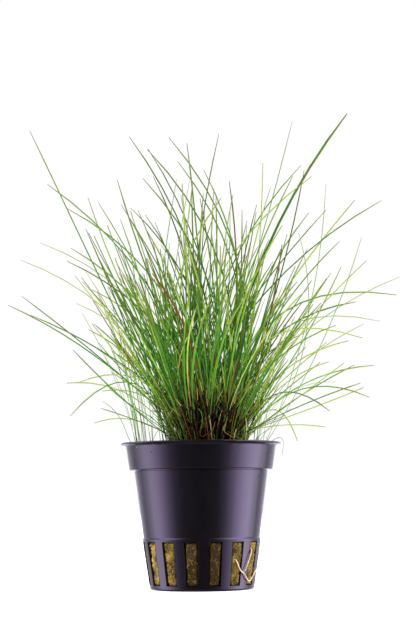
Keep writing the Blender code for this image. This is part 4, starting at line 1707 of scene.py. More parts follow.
def grass_marks(share: Array, tone: Any, green: Any, dry: Any) -> dict[str, Array]:
    """The numbers that the grass skin reads.

    Args:
        share: The share of the culm's length at each point, of shape (culms, rings).
        tone: How light each culm is.
        green: How green it is, against the colours of its foot.
        dry: How dry it is.

    Returns:
        Each of them at each point.
    """
    level = np.ones_like(share)
    return {"tone": tone * level, "green": green * level, "share": share, "dry": dry * level}


@dataclass(frozen=True)
class LooseStrand:
    """A blade that follows a route of its own, in millimetres, through or past the clump."""

    route: tuple[Point, ...]
    tone: float
    dry: float = 1.0
    radius: float = 0.14 * MM

    def surface(self) -> Surface:
        """A tube of five sides, whose radius is r (0.55 + 0.45 sin pi s) along it.

        Returns:
            The tube.
        """
        line = smooth_path(self.route, 5)[None]
        share = np.linspace(0, 1, line.shape[1])[None]
        radii = self.radius * (0.55 + 0.45 * np.sin(math.pi * share))
        return tubes(line, radii, 5, grass_marks(share, self.tone, 1.0, self.dry))

    @staticmethod
    def arched(x: float, y: float, tip: Point, bow: float, tone: float) -> "LooseStrand":
        """A green culm between the others, all in millimetres.

        Args:
            x: Where its foot stands in the wool, to the right.
            y: Where its foot stands, to the back.
            tip: Where it ends.
            bow: How far its middle bends in, towards the clump's own middle.
            tone: How light it is.

        Returns:
            The culm.
        """
        foot = (x, y, STRAND_FOOT)
        middle = (np.array(foot) + tip) / 2
        middle += (math.copysign(bow, -tip[0]), 0, 0.3 * bow)
        return LooseStrand((foot, tuple(middle), tip), tone, dry=0.0, radius=0.25 * MM)


# All strands are in millimetres, and their feet stand at this height.
STRAND_FOOT = 47.0

# Green culms that fill thin places of the fan: the foot's x and y, the tip, the bow
# and the tone.
FILLING_CULMS = (
    (-9, 4, (-39.3, 8, 125), 4, 0.5),
    (-11, -3, (-36.2, -9, 121), 3, 0.3),
    (-8, -6, (-31.3, -14, 123.7), 2, 0.65),
    (-6, 5, (-28.9, 10, 119.5), 3, 0.45),
    (-9, 0, (-27.2, 2, 117.5), 1, 0.25),
    (-4, -5, (-23.4, -12, 128.9), 2, 0.7),
    (-7, 7, (-19.6, 18, 117.8), 1, 0.5),
    (-12, 1, (-34.5, 4, 113.3), 3, 0.6),
    (-10, -6, (-28.6, -16, 112), 2, 0.4),
    (-8, 3, (-24.8, 7, 107.8), 1, 0.8),
    (-3, 6, (-16.8, 15, 123.7), 1, 0.55),
    (-11, 5, (-32.4, 12, 106), 3, 0.35),
    (-6, -7, (-17.9, -15, 112), 1, 0.55),
    (-5, -4, (-13.4, -10, 116), -1, 0.35),
    (-3, 3, (-10.2, 8, 110), 1, 0.7),
    (-2, -6, (-7.1, -13, 114.4), -1, 0.45),
    (-1, 5, (-4.0, 13, 119.5), 1, 0.6),
    (-8, 5, (-21.3, 13, 109.9), 1, 0.2),
    (0, -4, (-1.2, -9, 112), 1, 0.3),
    (-4, 0, (-15.8, 3, 107.4), -2, 0.75),
    (11, 2, (34, 6, 112), 3, 0.6),
    (10, -5, (38.2, -14, 104), 4, 0.45),
    (12, 4, (40.3, 9, 98.8), 4, 0.75),
    (12, -4, (36, -12, 81.5), 3, 0.7),
    (13, 0, (41.7, 0, 77.3), 3, 0.85),
    (9, 5, (32.7, 14, 107.4), 2, 0.5),
)

# Dead and stray blades in front of the clump's foot, and then the filling culms.
LOOSE_STRANDS = (
    LooseStrand(
        ((3.9, -13, 47.0), (3.4, -15.8, 54.6), (2.6, -15.8, 60), (2.1, -15, 64.4), (2.3, -14.2, 68.9)),
        0.95,
    ),
    LooseStrand(((2.8, -13, 47.0), (2.4, -15.2, 52.7), (1.5, -15.4, 58.6), (1.2, -14, 63.7)), 0.40),
    LooseStrand(
        ((3.6, -13, 47.0), (2.6, -15.2, 51.7), (0.6, -15.6, 51.2), (-0.2, -15.8, 52))
        + ((0.0, -15.8, 53.5), (0.6, -15.6, 55), (1.6, -14.8, 55.9)),
        0.30,
    ),
    LooseStrand(((2.0, -13, 47.0), (2.4, -15.4, 50.5), (4.2, -16, 54), (4.9, -15, 56.3)), 0.45),
    LooseStrand(
        ((12, -14.6, 47.0), (11.4, -16, 50.2), (9.1, -16.8, 51.8), (7.6, -16.2, 53.5))
        + ((8.3, -16, 55.5), (8.9, -15.4, 57.5), (10.1, -14, 64.3)),
        0.62,
        dry=0.85,
    ),
    LooseStrand(((5.0, -8, 47.0), (5.5, -9, 53), (6.4, -15, 57.5), (7.5, -15.4, 60.7)), 0.9),
    LooseStrand(((14.2, -14, 47.0), (14.9, -16.4, 50.1), (15.4, -16.2, 54), (15.1, -15.2, 57.8)), 1.0),
    LooseStrand(((10.6, -14.4, 47.0), (11.2, -16.2, 51.0), (11.9, -15.8, 53.6)), 1.0),
    LooseStrand(((-2.2, -12.5, 47.0), (-4.6, -14.6, 55), (-7.6, -14.6, 64)), 0.34),
    LooseStrand(((9.6, -12, 47.0), (11.2, -14, 58), (13.9, -14, 66)), 0.40),
    LooseStrand(
        ((-5.5, -13, 47.0), (-7.6, -17.5, 50.2), (-13.7, -17, 55.3), (-17.2, -14, 58.3), (-26, -9, 64)),
        0.02,
        dry=0.0,
    ),
    LooseStrand(
        ((9.5, -13, 47.0), (11.8, -17.2, 50.8), (17.4, -20.5, 53.4), (20.3, -23, 54.6), (28, -26, 57.5)),
        0.05,
        dry=0.0,
    ),
    *(LooseStrand.arched(*row) for row in FILLING_CULMS),
)


def lengths_along(lines: Array) -> Array:
    """The length of each line up to each of its points."""
    steps = np.linalg.norm(np.diff(lines, axis=1), axis=2)
    return np.concatenate([np.zeros((len(lines), 1)), np.cumsum(steps, axis=1)], axis=1)


def points_along(lines: Array, wanted: Array) -> Array:
    """Points of lines at given lengths from their feet.

    Args:
        lines: Points of shape (lines, points, 3).
        wanted: Lengths of shape (lines, n).

    Returns:
        Points of shape (lines, n, 3), each in line between the two beside it.
    """
    along = lengths_along(lines)
    after = np.clip((along[:, None, :] <= wanted[:, :, None]).sum(axis=-1), 1, lines.shape[1] - 1)
    row = np.arange(len(lines))[:, None]
    low, high = along[row, after - 1], along[row, after]
    share = np.clip((wanted - low) / (high - low), 0, 1)[..., None]
    return lines[row, after - 1] * (1 - share) + lines[row, after] * share


@dataclass
class Blades:
    """Many culms at once: where each one stands, leaves its sheath, bends and ends."""

    foot: Array
    start: Array
    control: Array
    tip: Array
    radius: Array
    tone: Array
    dry: Array
    green_from: Array
    sway: Array
    low_rings: int = 5
    high_rings: int = 12
    thin_foot: float = 0.56
    full_at: float = 55 * MM
    turning: float = 4 * MM

    def low_part(self) -> Array:
        """Points of the culms inside their sheaths, up to just below the sheath's top.

        A cubic from the foot to the sheath's top that leaves both along the
        direction of the culm at the sheath's top:
        (2t^3-3t^2+1) foot + (t^3-2t^2+t) m + (-2t^3+3t^2) start + (t^3-t^2) m,
        with m as long as the way between them.

        Returns:
            Points of shape (culms, low_rings - 1, 3).
        """
        t = np.linspace(0, 1, self.low_rings)[:-1, None]
        way = np.linalg.norm(self.start - self.foot, axis=1, keepdims=True)
        pull = (unit(self.control - self.start) * way)[:, None]
        return (
            (2 * t**3 - 3 * t**2 + 1) * self.foot[:, None]
            + (t**3 - 2 * t**2 + t) * pull
            + (3 * t**2 - 2 * t**3) * self.start[:, None]
            + (t**3 - t**2) * pull
        )

    def lines(self) -> Array:
        """Lines of points: up inside the sheath, then the quadratic curve to the tip.

        Each line sways a little from side to side, by 4 s (1 - s) sin(f s + p) times
        its sway, where s is the share of its points, so that both ends stay in place.

        Returns:
            Points of shape (culms, rings, 3).
        """
        t = np.linspace(0, 1, self.high_rings)[None, :, None] ** 1.08
        high = bezier(self.start[:, None], self.control[:, None], self.tip[:, None], t)
        line = np.concatenate([self.low_part(), high], axis=1)
        s = np.linspace(0, 1, line.shape[1])[None, :]
        chord = unit(self.tip - self.foot)
        aside = unit(np.cross(chord, np.array([0.3, -0.8, 0.5])))
        across = np.cross(chord, aside)
        size, turns, phase, slant = self.sway.T[:, :, None]
        wave = 4 * s * (1 - s) * size * np.sin(turns * TAU * s + phase)
        push = np.cos(slant)[..., None] * aside[:, None] + np.sin(slant)[..., None] * across[:, None]
        return line + wave[..., None] * push

    def surface(self, sides: int) -> Surface:
        """The culms as tubes that are thinner at their feet and end bluntly.

        The radius at the share s of the length is r (1 - 0.15 s) sqrt(1 - 0.8 s^40),
        times a factor that eases from thin_foot at the foot to 1 at full_at.

        Args:
            sides: How many sides each tube has.

        Returns:
            All the tubes.
        """
        line = self.lines()
        along = lengths_along(line)
        share = along / along[:, -1:]
        radii = self.radius[:, None] * (1 - 0.15 * share) * np.sqrt(1 - 0.8 * share**40)
        radii = radii * (self.thin_foot + (1 - self.thin_foot) * smooth_step(0, self.full_at, along))
        green = smooth_step(0.0, 1.0, (along - self.green_from[:, None]) / self.turning)
        marks = grass_marks(share, self.tone[:, None], green, self.dry[:, None])
        return tubes(line, radii, sides, marks)

    def sheaths(self, reach: Array, tone: Array, chosen: Array) -> Surface:
        """A thin papery sheath round the foot of each chosen culm.

        Args:
            reach: How far up its culm each one goes.
            tone: How light each one is.
            chosen: Which culms have one.

        Returns:
            Tubes round the thin feet of the culms, which close at the top.
        """
        step = np.linspace(0, 1, 7)
        line = points_along(self.lines()[chosen], reach[:, None] * step)
        swell = np.interp(step, [0, 0.3, 0.8, 0.93, 1.0], [0.8, 0.9, 1.0, 1.0, 0.7])
        marks = grass_marks(np.zeros(line.shape[:2]), tone[:, None], 0.0, 0.0)
        return tubes(line, self.radius[chosen, None] * swell, 6, marks)


@dataclass(frozen=True)
class Grass:
    """The tufts dressed: their main culms, finer culms between them, and sheaths."""

    planting: Planting
    seed: int = 7
    habits: tuple[Habit, ...] = (SHORT_CULMS, LONG_CULMS, DEAD_STUBS)
    main_radius: Range = (0.24 * MM, 0.31 * MM)
    fine_radius: Range = (0.18 * MM, 0.26 * MM)
    sunk: float = 0.5 * MM
    tries_each: int = 8
    main_sway: float = 0.45 * MM
    fine_sway: float = 1.3 * MM
    middle: Range = (4.0 * MM, 9.5 * MM)
    brown_foot: Range = (7 * MM, 27 * MM)
    side_brown_foot: Range = (0 * MM, 5 * MM)
    green_foot_share: Range = (0.30, 0.85)
    sheath_reach: Range = (6 * MM, 24 * MM)
    side_sheath_reach: Range = (2 * MM, 7 * MM)
    # Painted light: how much the tones rise at the clump's left and right sides.
    side_painted_light: Range = (0.24, 0.52)
    stub_tones: Range = (1.3, 1.4)
    straw_share: Range = (0.06, 0.22)
    straw_dryness: float = 0.9
    sheath_tones: Range = (1.1, 2.4)
    rim_tones: Range = (0.50, 0.92)
    rim_radius: Range = (0.13 * MM, 0.19 * MM)

    def tones(self, tuft: Tuft, count: int, chance: Chance) -> tuple[Array, Array]:
        """A tone and a dryness for each culm by its age, made lighter at the clump's sides by painted
        light.

        Args:
            tuft: The tuft that they grow from.
            count: How many.
            chance: The tuft's own random numbers.

        Returns:
            The tones and the drynesses.
        """
        share, low, high, dry = np.array([age.value for age in Age]).T
        age = chance.choice(len(share), count, p=share / share.sum())
        # Painted light lifts the tones towards the clump's sides.
        right = tuft.foot[0] > self.planting.clump_x
        lighter = self.side_painted_light[int(right)] * self.off_middle(tuft)
        tone = chance.uniform(low[age], high[age]) + lighter * chance.uniform(0.4, 1.6, count)
        return tone, dry[age]

    def swaying(self, size: float, count: int, chance: Chance) -> Array:
        """How culms sway.

        Args:
            size: The most that one sways.
            count: How many culms there are.
            chance: The tuft's own random numbers.

        Returns:
            How far, how often, from where and which way each one sways.
        """
        return np.stack(
            [
                size * chance.uniform(0.2, 1.0, count),
                chance.uniform(0.35, 1.15, count),
                chance.uniform(0, TAU, count),
                chance.uniform(0, math.pi, count),
            ],
            axis=1,
        )

    def off_middle(self, tuft: Tuft) -> float:
        """How far to one side of the clump a tuft stands: 0 in its middle, 1 outside."""
        off = np.array(abs(tuft.foot[0] - self.planting.clump_x))
        return float(smooth_step(*self.middle, off))

    def between(self, ends: tuple[Any, Any], tuft: Tuft) -> Any:
        """A size between its ends for the clump's middle and for its sides."""
        share = self.off_middle(tuft)
        return np.array(ends[0]) * (1 - share) + np.array(ends[1]) * share

    def green_starts(self, tuft: Tuft, count: int, chance: Chance) -> Array:
        """How far up each culm turns green: some at once, and more so at the sides.

        Args:
            tuft: The tuft that they grow from.
            count: How many.
            chance: The tuft's own random numbers.

        Returns:
            One height along the culm for each.
        """
        low = chance.uniform(*self.between((self.brown_foot, self.side_brown_foot), tuft), count)
        at_once = chance.random(count) < self.between(self.green_foot_share, tuft)
        return np.where(at_once, -4 * MM, low)

    def main_culms(self, tuft: Tuft, chance: Chance) -> Blades:
        """The tuft's planned culms, on the curves of their solids.

        Args:
            tuft: The tuft.
            chance: Its own random numbers.

        Returns:
            The culms, of which a landmark culm has a look of its own.
        """
        count = len(tuft.culms)
        start, control, tip = (
            np.array([getattr(culm, end) for culm in tuft.culms]) for end in ("start", "control", "tip")
        )
        inward = (start - tuft.top_centre()) * tuft.foot_radius / tuft.top_radius
        tone, dry = self.tones(tuft, count, chance)
        radius = chance.uniform(*self.main_radius, count)
        for number, culm in enumerate(tuft.culms):
            if culm.landmark >= 0:
                usual = CulmLook(tone[number], radius[number])
                look = LANDMARK_LOOKS.get(culm.landmark, usual)
                tone[number], radius[number], dry[number] = look.tone, look.radius, look.dry
        foot = tuft.foot - self.sunk * tuft.axis + inward
        green_from = self.green_starts(tuft, count, chance)
        sway = self.swaying(self.main_sway, count, chance)
        return Blades(foot, start, control, tip, radius, tone, dry, green_from, sway)

    def fine_culms(self, tuft: Tuft, habit: Habit, chance: Chance) -> Blades | None:
        """Finer culms of one habit that clear the pot's rim, if the tuft has any.

        Args:
            tuft: The tuft that they grow from.
            habit: How they grow.
            chance: The tuft's own random numbers.

        Returns:
            The culms, or none.
        """
        at_rim = self.planting.at_rim(tuft)
        count = 1 if at_rim else habit.count(tuft, self.planting, self.off_middle(tuft))
        foot, *curve = self.sprouts(tuft, habit, self.tries_each * count, chance)
        path = bezier(*(ends[:, None] for ends in curve), np.linspace(0, 1, 25)[None, :, None])
        low, high = (np.array(corner) for corner in cad_bounds)
        inside = ((curve[2] > low) & (curve[2] < high)).all(axis=1)
        chosen = np.flatnonzero(self.planting.clear_of_pot(path) & inside)[:count]
        if not len(chosen):
            return None
        tone, dry = self.tones(tuft, len(chosen), chance)
        radius = chance.uniform(*self.fine_radius, len(chosen))
        green_from = self.green_starts(tuft, len(chosen), chance)
        if habit.dead:
            tone = chance.beta(*self.stub_tones, len(chosen))
            straw = self.straw_share[int(tuft.foot[0] > self.planting.clump_x)]
            dry = np.where(chance.random(len(chosen)) < straw, self.straw_dryness, 0.0)
            green_from = np.full(len(chosen), 2 * habit.lengths[2])
        sway = self.swaying(self.fine_sway, len(chosen), chance)
        return Blades(
            foot[chosen], *(ends[chosen] for ends in curve), radius, tone, dry, green_from, sway
        )

    def sprouts(
        self, tuft: Tuft, habit: Habit, count: int, chance: Chance
    ) -> tuple[Array, Array, Array, Array]:
        """The curves of culms that grow by a habit, wherever they lead.

        Each leaves the sheath's top within its spread and bends over half way, by an
        arch that grows with its lean, and both directions are tossed about.

        Args:
            tuft: The tuft that they grow from.
            habit: How they grow.
            count: How many.
            chance: The tuft's own random numbers.

        Returns:
            Their feet, and the starts, controls and tips of their curves.
        """
        turn = chance.uniform(0, TAU, count)
        out = tuft.top_radius * np.sqrt(chance.uniform(0, 0.95, count))
        across, along = square_to(tuft.axis)
        side = np.cos(turn)[:, None] * across + np.sin(turn)[:, None] * along
        start = tuft.top_centre() + out[:, None] * side
        foot = tuft.foot - self.sunk * tuft.axis + (out * 1.1)[:, None] * side
        spread = np.tan(np.radians(chance.triangular(0, 0.3 * habit.spread, habit.spread, count)))
        tossed = [chance.normal(0, toss, (count, 3)) * (1 - UP) for toss in habit.toss]
        leaving = unit(tuft.axis + spread[:, None] * side + tossed[0])
        lean = np.arccos(leaving[:, 2])
        length = chance.triangular(*habit.lengths, count)
        sideways = leaving[:, 0] ** 2 / (leaving[:, 0] ** 2 + leaving[:, 1] ** 2)
        more = habit.side_arch * sideways + habit.facing_arch * (1 - sideways)
        arch = np.radians(chance.triangular(*habit.arch, count) + more * np.sin(lean))
        if self.planting.at_rim(tuft):
            length = chance.uniform(*self.planting.rim_culm_lengths, count)
            arch = np.radians(chance.uniform(*self.planting.rim_arch_degrees, count))
        shorter = np.where(leaving[:, 0] < 0, *habit.shorter) * lean
        length = length * (1 - shorter * (1 - habit.facing_reach * (1 - sideways)))
        swing = np.radians(chance.uniform(-habit.swing, habit.swing, count))
        after = np.arctan2(leaving[:, 1], leaving[:, 0]) + swing
        flat = np.sin(lean + arch)
        onward = np.stack([flat * np.cos(after), flat * np.sin(after), np.cos(lean + arch)], axis=1)
        control = start + leaving * length[:, None] / 2
        return foot, start, control, control + unit(onward + tossed[1]) * length[:, None] / 2

    def tuft_surface(self, tuft: Tuft, number: int, strands: Sequence[LooseStrand]) -> Surface:
        """One tuft's culms, sheaths and loose strands.

        Args:
            tuft: The tuft.
            number: Its number, which sets its random numbers.
            strands: The loose strands that belong to it.

        Returns:
            All of them as one surface.
        """
        chance = np.random.default_rng([self.seed, number])
        at_rim = self.planting.at_rim(tuft)
        kinds = [self.main_culms(tuft, chance)]
        for habit in self.habits[:1] if at_rim else self.habits:
            kinds.append(self.fine_culms(tuft, habit, chance))
        kinds = [blades for blades in kinds if blades]
        if at_rim:
            kinds = [self.refreshed(blades, chance) for blades in kinds]
        parts = [kinds[0].surface(6)] + [blades.surface(5) for blades in kinds[1:]]
        for blades in () if at_rim else kinds:
            ends = self.between((self.sheath_reach, self.side_sheath_reach), tuft)
            reach = chance.uniform(*ends, len(blades.foot))
            brown = np.flatnonzero(blades.green_from > 0)
            if len(brown):
                # Sheath tones mostly fall on the near-black end of the foot colours, which is painted
                # shade.
                tone = chance.beta(*self.sheath_tones, len(brown))
                parts.append(blades.sheaths(reach[brown], tone, brown))
        parts += [strand.surface() for strand in strands]
        return Surface.joined(parts)

    def refreshed(self, blades: Blades, chance: Chance) -> Blades:
        """The culms of a rim tuft: young, pale and green from the foot up.

        Args:
            blades: The culms as they would look in a middle tuft.
            chance: The tuft's random numbers.

        Returns:
            The same culms with a new look.
        """
        count = len(blades.foot)
        young = {
            "tone": chance.uniform(*self.rim_tones, count),
            "dry": np.zeros(count),
            "radius": chance.uniform(*self.rim_radius, count),
            "green_from": np.full(count, -4 * MM),
        }
        return replace(blades, **young)

    def build(self) -> None:
        """Makes one piece for each tuft, in place of its solid."""
        skin = GrassSkin().material()
        tufts = self.planting.planted()
        feet = np.array([tuft.foot for tuft in tufts if not self.planting.at_rim(tuft)])
        spots = np.array([strand.route[0] for strand in LOOSE_STRANDS]) * MM
        owners = np.linalg.norm(feet[None] - spots[:, None], axis=2).argmin(axis=1)
        for number, tuft in enumerate(tufts):
            strands = [strand for strand, owner in zip(LOOSE_STRANDS, owners) if owner == number]
            surface = self.tuft_surface(tuft, number, strands)
            surface.to_piece(f"{tuft.name}_grass", skin, "grass", [tuft.name])


# The plug, the strands and the grains


def grain(points: Array, wavelength: float, waves: int, seed: int) -> Array:
    """An uneven field between about -1 and 1 through space.

    The sum over the waves of sin(k . p + a), divided by sqrt(waves / 2), where each k
    points any way with a length near TAU / wavelength, and each a is any phase.

    Args:
        points: Where to read the field.
        wavelength: About how far apart its crests are.
        waves: How many waves it is the sum of.
        seed: Where its random numbers start.

    Returns:
        The field at each point.
    """
    chance = np.random.default_rng(seed)
    ways = unit(chance.normal(size=(waves, 3)))
    ways = ways * TAU / wavelength * chance.uniform(0.6, 1.5, (waves, 1))
    phases = chance.uniform(0, TAU, waves)
    return np.sin(points @ ways.T + phases).sum(axis=-1) / math.sqrt(waves / 2)


def layered(points: Array, layers: Layers) -> Array:
    """Several grains of unlike size, added up.

    Args:
        points: Where to read them.
        layers: The height, the wavelength, the waves and the seed of each grain.

    Returns:
        The sum at each point.
    """
    return sum(height * grain(points, *wave) for height, *wave in layers)


@dataclass(frozen=True)
class WoolPlug:
    """The mineral wool: a lumpy plug that bulges into the slots, and loose fibres."""

    pot: NetPot
    top: float = 46.5 * MM
    bottom: float = 1.3 * MM
    gap: float = 0.4 * MM
    lumps: float = 0.6 * MM
    shelf_gap: float = 0.45 * MM
    edge: float = 1.4 * MM
    sunk: float = 0.38 * MM
    deeper_left: float = 0.14 * MM
    half_slot: float = 0.112
    slot_sides: Range = (0.084, 0.105)
    slot_end: float = 0.6 * MM
    fine_below: float = 17.5 * MM
    cap_rows: int = 16
    base_rows: int = 6
    in_columns: int = 16
    bar_columns: int = 8
    slot_rows: int = 56
    high_rows: int = 20
    # Painted shade on the wool's tone, darkest at the front about this azimuth, and painted light at the
    # sides.
    shade_azimuth: float = 0.05
    front_painted_shade: float = 0.50
    painted_light_at_sides: float = 0.06
    front_width: float = 0.62
    fibres_per_slot: int = 110
    top_fibres: int = 420
    fibre_reach: float = 0.088
    top_fibre_radius: float = 22 * MM
    fibre_radius: Range = (0.03 * MM, 0.06 * MM)
    fibre_length: Range = (0.5 * MM, 2.2 * MM)
    fibre_lift: Range = (-0.05 * MM, 0.16 * MM)
    fibre_droop: float = 0.6 * MM
    fibre_slant: float = 0.9
    fibre_bend: float = 0.35
    fibre_tone: Range = (0.10, 0.30)
    side_grain: Layers = ((0.13 * MM, 2.4 * MM, 14, 31), (0.09 * MM, 0.8 * MM, 16, 32))
    most_grain: float = 0.2 * MM
    top_grain: Layers = ((0.35 * MM, 3.5 * MM, 12, 33), (0.15 * MM, 1.1 * MM, 14, 34))
    tone_grain: Layers = ((0.10, 4 * MM, 10, 35),)
    seed: int = 5

    def radius(self, azimuth: Array, height: Array) -> Array:
        """The pot's inner radius less a gap and the wool's lumps, a sum of three waves.

        Args:
            azimuth: Where round the plug.
            height: How high up it.

        Returns:
            The radius there.
        """
        shape = self.pot.shape
        above = height > shape.step_height + shape.wall + self.shelf_gap
        inner = np.where(above, shape.band_radius(height), shape.body_radius(height)) - shape.wall
        waves = (
            np.sin(5 * azimuth + 380 * height)
            + np.sin(9 * azimuth - 610 * height + 1.3)
            + np.sin(14 * azimuth + 930 * height + 2.1)
        )
        return inner - self.gap - self.lumps * (0.5 + waves / 6)

    def columns(self) -> Array:
        """Azimuths of the columns, closer together across each slot than between two.

        Returns:
            One azimuth for each column.
        """
        pitch = TAU / self.pot.slots
        half = self.half_slot
        across = np.linspace(-half, half, self.in_columns + 1)
        bar = np.linspace(half, pitch - half, self.bar_columns + 1)[1:-1]
        period = np.concatenate([across, bar])
        starts = self.pot.first_slot + np.arange(self.pot.slots)[:, None] * pitch
        return (starts + period).ravel()

    def in_slot(self, azimuth: Array, height: Array) -> Array:
        """How far the wool fills a slot: the product of three eased edges.

        Args:
            azimuth: Where round the plug.
            height: How high up it.

        Returns:
            A share from 0 at the slot's sides to 1 over most of its width.
        """
        pitch = TAU / self.pot.slots
        off = (azimuth - self.pot.first_slot + pitch / 2) % pitch - pitch / 2
        bottom, top = self.pot.slot_bottom, self.pot.slot_top
        across = 1 - smooth_step(*self.slot_sides, np.abs(off))
        low = smooth_step(bottom, bottom + self.slot_end, height)
        high = 1 - smooth_step(top - self.slot_end, top, height)
        return across * low * high

    def skin(self, azimuth: Array, height: Array) -> Array:
        """The plug's side, with a fine grain.

        Its radius goes from that of the plug behind the wall to a face in the slots,
        which lies a little behind the pot's outer face, more so on the left.

        Args:
            azimuth: Where round the plug.
            height: How high up it.

        Returns:
            The points there.
        """
        azimuth, height = np.broadcast_arrays(azimuth, height)
        behind = self.radius(azimuth, height)
        sunk = self.sunk - self.deeper_left * np.sin(azimuth)
        face = self.pot.shape.ridge_radius(height) - sunk
        radius = behind + (face - behind) * self.in_slot(azimuth, height)
        place = around(azimuth, radius, height)
        rough = np.minimum(layered(place, self.side_grain), self.most_grain)
        return around(azimuth, radius + rough, height)

    def surface(self) -> Surface:
        """The plug as one closed skin: the underside, the side, and the lumpy top.

        Returns:
            The skin, with a tone at each point.
        """
        azimuth = self.columns()
        low = np.linspace(self.bottom, self.fine_below, self.slot_rows, endpoint=False)
        high = np.linspace(self.fine_below, self.top - self.edge / 2, self.high_rows)
        side = self.skin(azimuth[None, :], np.concatenate([low, high])[:, None])
        shares = np.linspace(0.97, 0.06, self.cap_rows)[:, None, None]
        cap = side[-1] * shares
        lift = layered(cap, self.top_grain)
        ease = np.sqrt(1 - shares[..., 0] ** 10)
        cap[..., 2] = side[-1, :, 2] + ease * (self.top - side[-1, :, 2] + lift - 0.3 * MM)
        base = side[0] * np.linspace(0.1, 0.95, self.base_rows)[:, None, None]
        base[..., 2] = self.bottom
        rows = np.concatenate([base, side, cap])
        poles = np.array([[0, 0, self.bottom], [0, 0, cap[-1, :, 2].mean()]])
        points = np.concatenate([rows.reshape(-1, 3), poles])
        # The tone is darkened by painted shade at the front and raised by painted light at the sides.
        tone = layered(points, self.tone_grain) - self.painted_front_shade(points)
        return ringed(rows, poles, {"tone": tone})

    def painted_front_shade(self, points: Array) -> Array:
        """Painted shade on the wool, darkest at the front in a bell curve, less painted light at the
        sides.
        """
        off = np.arctan2(points[..., 0], -points[..., 1]) - self.shade_azimuth
        return self.front_painted_shade * np.exp(-((off / self.front_width) ** 2)) - self.painted_light_at_sides

    def fibres(self) -> Surface:
        """Short loose fibres, curved, lying on the wool in the slots and on its top.

        Returns:
            All the fibres as thin tubes.
        """
        chance = np.random.default_rng(self.seed)
        count = self.fibres_per_slot * self.pot.slots
        slot = np.repeat(np.arange(self.pot.slots), self.fibres_per_slot)
        off = chance.uniform(-self.fibre_reach, self.fibre_reach, count)
        azimuth = self.pot.first_slot + slot * TAU / self.pot.slots + off
        low, high = self.pot.slot_bottom + self.slot_end, self.pot.slot_top - self.slot_end
        in_slots = self.skin(azimuth, chance.uniform(low, high, count))
        turn = chance.uniform(0, TAU, self.top_fibres)
        out = self.top_fibre_radius * np.sqrt(chance.uniform(0, 1, self.top_fibres))
        on_top = around(turn, out, self.top)
        centre = np.concatenate([in_slots, on_top])
        top_flat = np.broadcast_to(UP, on_top.shape)
        flat = np.concatenate([around(azimuth, 1.0, 0.0), top_flat])
        other = np.concatenate([np.broadcast_to(UP, in_slots.shape), np.roll(top_flat, -1, axis=1)])
        total = len(centre)
        angle = chance.normal(0, self.fibre_slant, total)
        beside = np.cross(other, flat)
        way = np.cos(angle)[:, None] * other + np.sin(angle)[:, None] * beside
        bend = np.cross(flat, way) * chance.normal(0, self.fibre_bend, total)[:, None]
        length = chance.uniform(*self.fibre_length, total)[:, None, None]
        s = np.linspace(-0.5, 0.5, 5)[None, :, None]
        lift = chance.uniform(*self.fibre_lift, total)[:, None, None]
        line = (
            centre[:, None]
            + s * length * way[:, None]
            + (0.25 - s**2) * length * bend[:, None]
            + (lift - self.fibre_droop * s**2) * flat[:, None]
        )
        radii = chance.uniform(*self.fibre_radius, total)[:, None] * np.array([0.4, 1, 1, 1, 0.4])
        # Each fibre's tone carries the same painted shade at the front and painted light at the sides.
        tone = chance.normal(*self.fibre_tone, total) - self.painted_front_shade(centre)
        return tubes(line, radii, 3, {"tone": np.repeat(tone[:, None], 5, axis=1)})

    def build(self) -> None:
        """Makes the plug and its fibres as one piece, in place of the solid plug."""
        Surface.joined([self.surface(), self.fibres()]).to_piece(
            "wool_plug_fibrous", MineralWool().material(), "mineral_wool", ["wool_plug"]
        )


@dataclass(frozen=True)
class Strand:
    """A root or a dead leaf on a smooth route, a little uneven, thin at its ends."""

    name: str
    route: tuple[Point, ...]
    radius: float
    slot: str
    steps: int = 7
    sides: int = 8
    thin_ends: Range = (0.8, 0.35)

    def build(self, skin: bpy.types.Material) -> None:
        """Makes the strand in place of its solid.

        Its radius is r times a share that eases to each end's own share, with an
        unevenness of a tenth.

        Args:
            skin: Its material.
        """
        line = smooth_path(self.route, self.steps)
        share = np.linspace(0, 1, len(line))
        ends = np.interp(share, [0, 0.15, 0.8, 1], [self.thin_ends[0], 1, 0.9, self.thin_ends[1]])
        radii = self.radius * ends * (1 + 0.1 * grain(line, 3 * MM, 6, 51))
        surface = tubes(line[None], radii[None], self.sides, {})
        surface.to_piece(f"{self.name}_skin", skin, self.slot, [self.name])


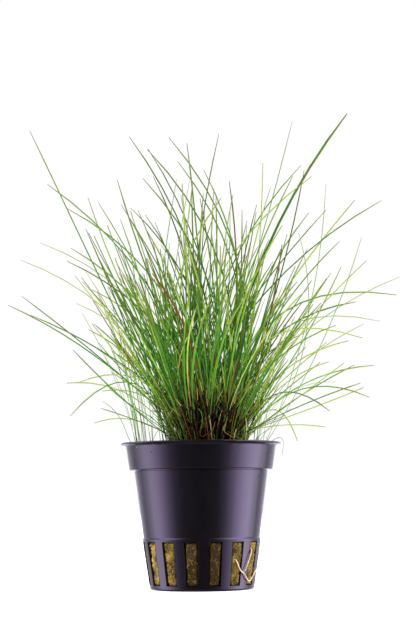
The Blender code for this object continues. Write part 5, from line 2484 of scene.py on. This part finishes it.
@dataclass(frozen=True)
class DustGrains:
    """Specks of grit and dried algae on the pot, one small uneven grain each.

    A place is an azimuth in degrees, a height and a radius in millimetres, and a shade.
    """

    pot: NetPot
    places: tuple[tuple[float, float, float, float], ...] = (
        (-56.6, 48.0, 0.20, 0.0),
        (-51.0, 48.2, 0.09, 0.2),
        (-46.3, 48.3, 0.10, 0.1),
        (-41.0, 48.3, 0.08, 0.3),
        (-34.3, 48.4, 0.08, 0.2),
        (-40.4, 46.1, 0.22, 0.95),
        (-69.8, 41.7, 0.22, 0.25),
        (-74.6, 31.0, 0.26, 0.3),
        (25.1, 46.4, 0.17, 0.8),
        (66.0, 44.9, 0.17, 0.0),
        (59.0, 38.0, 0.22, 0.95),
    )
    flatness: float = 0.6
    unevenness: float = 0.18

    def build(self) -> None:
        """Makes the grains: squashed balls set into the pot's side.

        Each is a ball of radius r with an unevenness, flattened outwards.
        """
        shape = self.pot.shape
        turn = np.linspace(0, TAU, 9)[:-1]
        rise = np.linspace(-1, 1, 7)[1:-1] * math.pi / 2
        parts = []
        for number, (degrees, height, size, shade) in enumerate(self.places):
            azimuth, z, r = math.radians(degrees), height * MM, size * MM
            on_band = z > shape.step_height
            radius = shape.band_radius(z) if on_band else shape.body_radius(z)
            centre = around(azimuth, radius, z)
            out = around(azimuth, 1.0, 0.0)
            side = np.cross(UP, out)
            level = np.cos(turn)[:, None] * side + np.sin(turn)[:, None] * out * self.flatness
            ball = np.cos(rise)[:, None, None] * level + np.sin(rise)[:, None, None] * UP
            uneven = 1 + self.unevenness * grain(ball * MM, 1.2 * MM, 6, 60 + number)[..., None]
            poles = np.array([-UP, UP]) * r + centre
            marks = {"tone": np.full(len(rise) * len(turn) + 2, shade)}
            parts.append(ringed(ball * uneven * r + centre, poles, marks))
        Surface.joined(parts).to_piece("dust_grains", DustSkin().material(), "pot_plastic", [])


MAIN_ROOT_ROUTE = (
    (10.6, -13.9, 11.4),
    (11.6, -15.4, 9.8),
    (12.8, -14.8, 6.9),
    (14.1, -13.0, 5.6),
    (15.8, -10.3, 3.1),
    (17.8, -7.2, 5.9),
    (19.2, -3.8, 8.2),
    (20.2, -0.9, 10.3),
    (20.1, -0.7, 12.1),
    (18.9, -1.0, 13.6),
)
SIDE_ROOT_ROUTE = (
    (15.2, -9.8, 14.9),
    (16.6, -10.9, 13.6),
    (16.4, -11.5, 12.0),
    (15.8, -11.9, 10.2),
    (14.8, -12.5, 7.5),
    (14.2, -13.1, 6.3),
)


def build_strands() -> None:
    """Builds the two roots that hang out of the slots and the dead leaf over the lip."""
    skin = RootSkin().material()
    Strand("root_main", MAIN_ROOT_ROUTE, 0.19 * MM, "root").build(skin)
    Strand("root_side", SIDE_ROOT_ROUTE, 0.16 * MM, "root").build(skin)
    leaf = DryLeaf().material()
    Strand("dead_leaf", DEAD_LEAF_ROUTE, 0.09 * MM, "dead_leaf").build(leaf)


def main() -> None:
    """Builds the studio and then each sub-assembly in order."""
    logging.basicConfig(level=logging.INFO, format="%(name)s %(message)s")
    Studio().build()
    pot = NetPot()
    pot.build()
    WoolPlug(pot).build()
    DustGrains(pot).build()
    build_strands()
    Grass(Planting()).build()


if __name__ == "__main__":
    main()
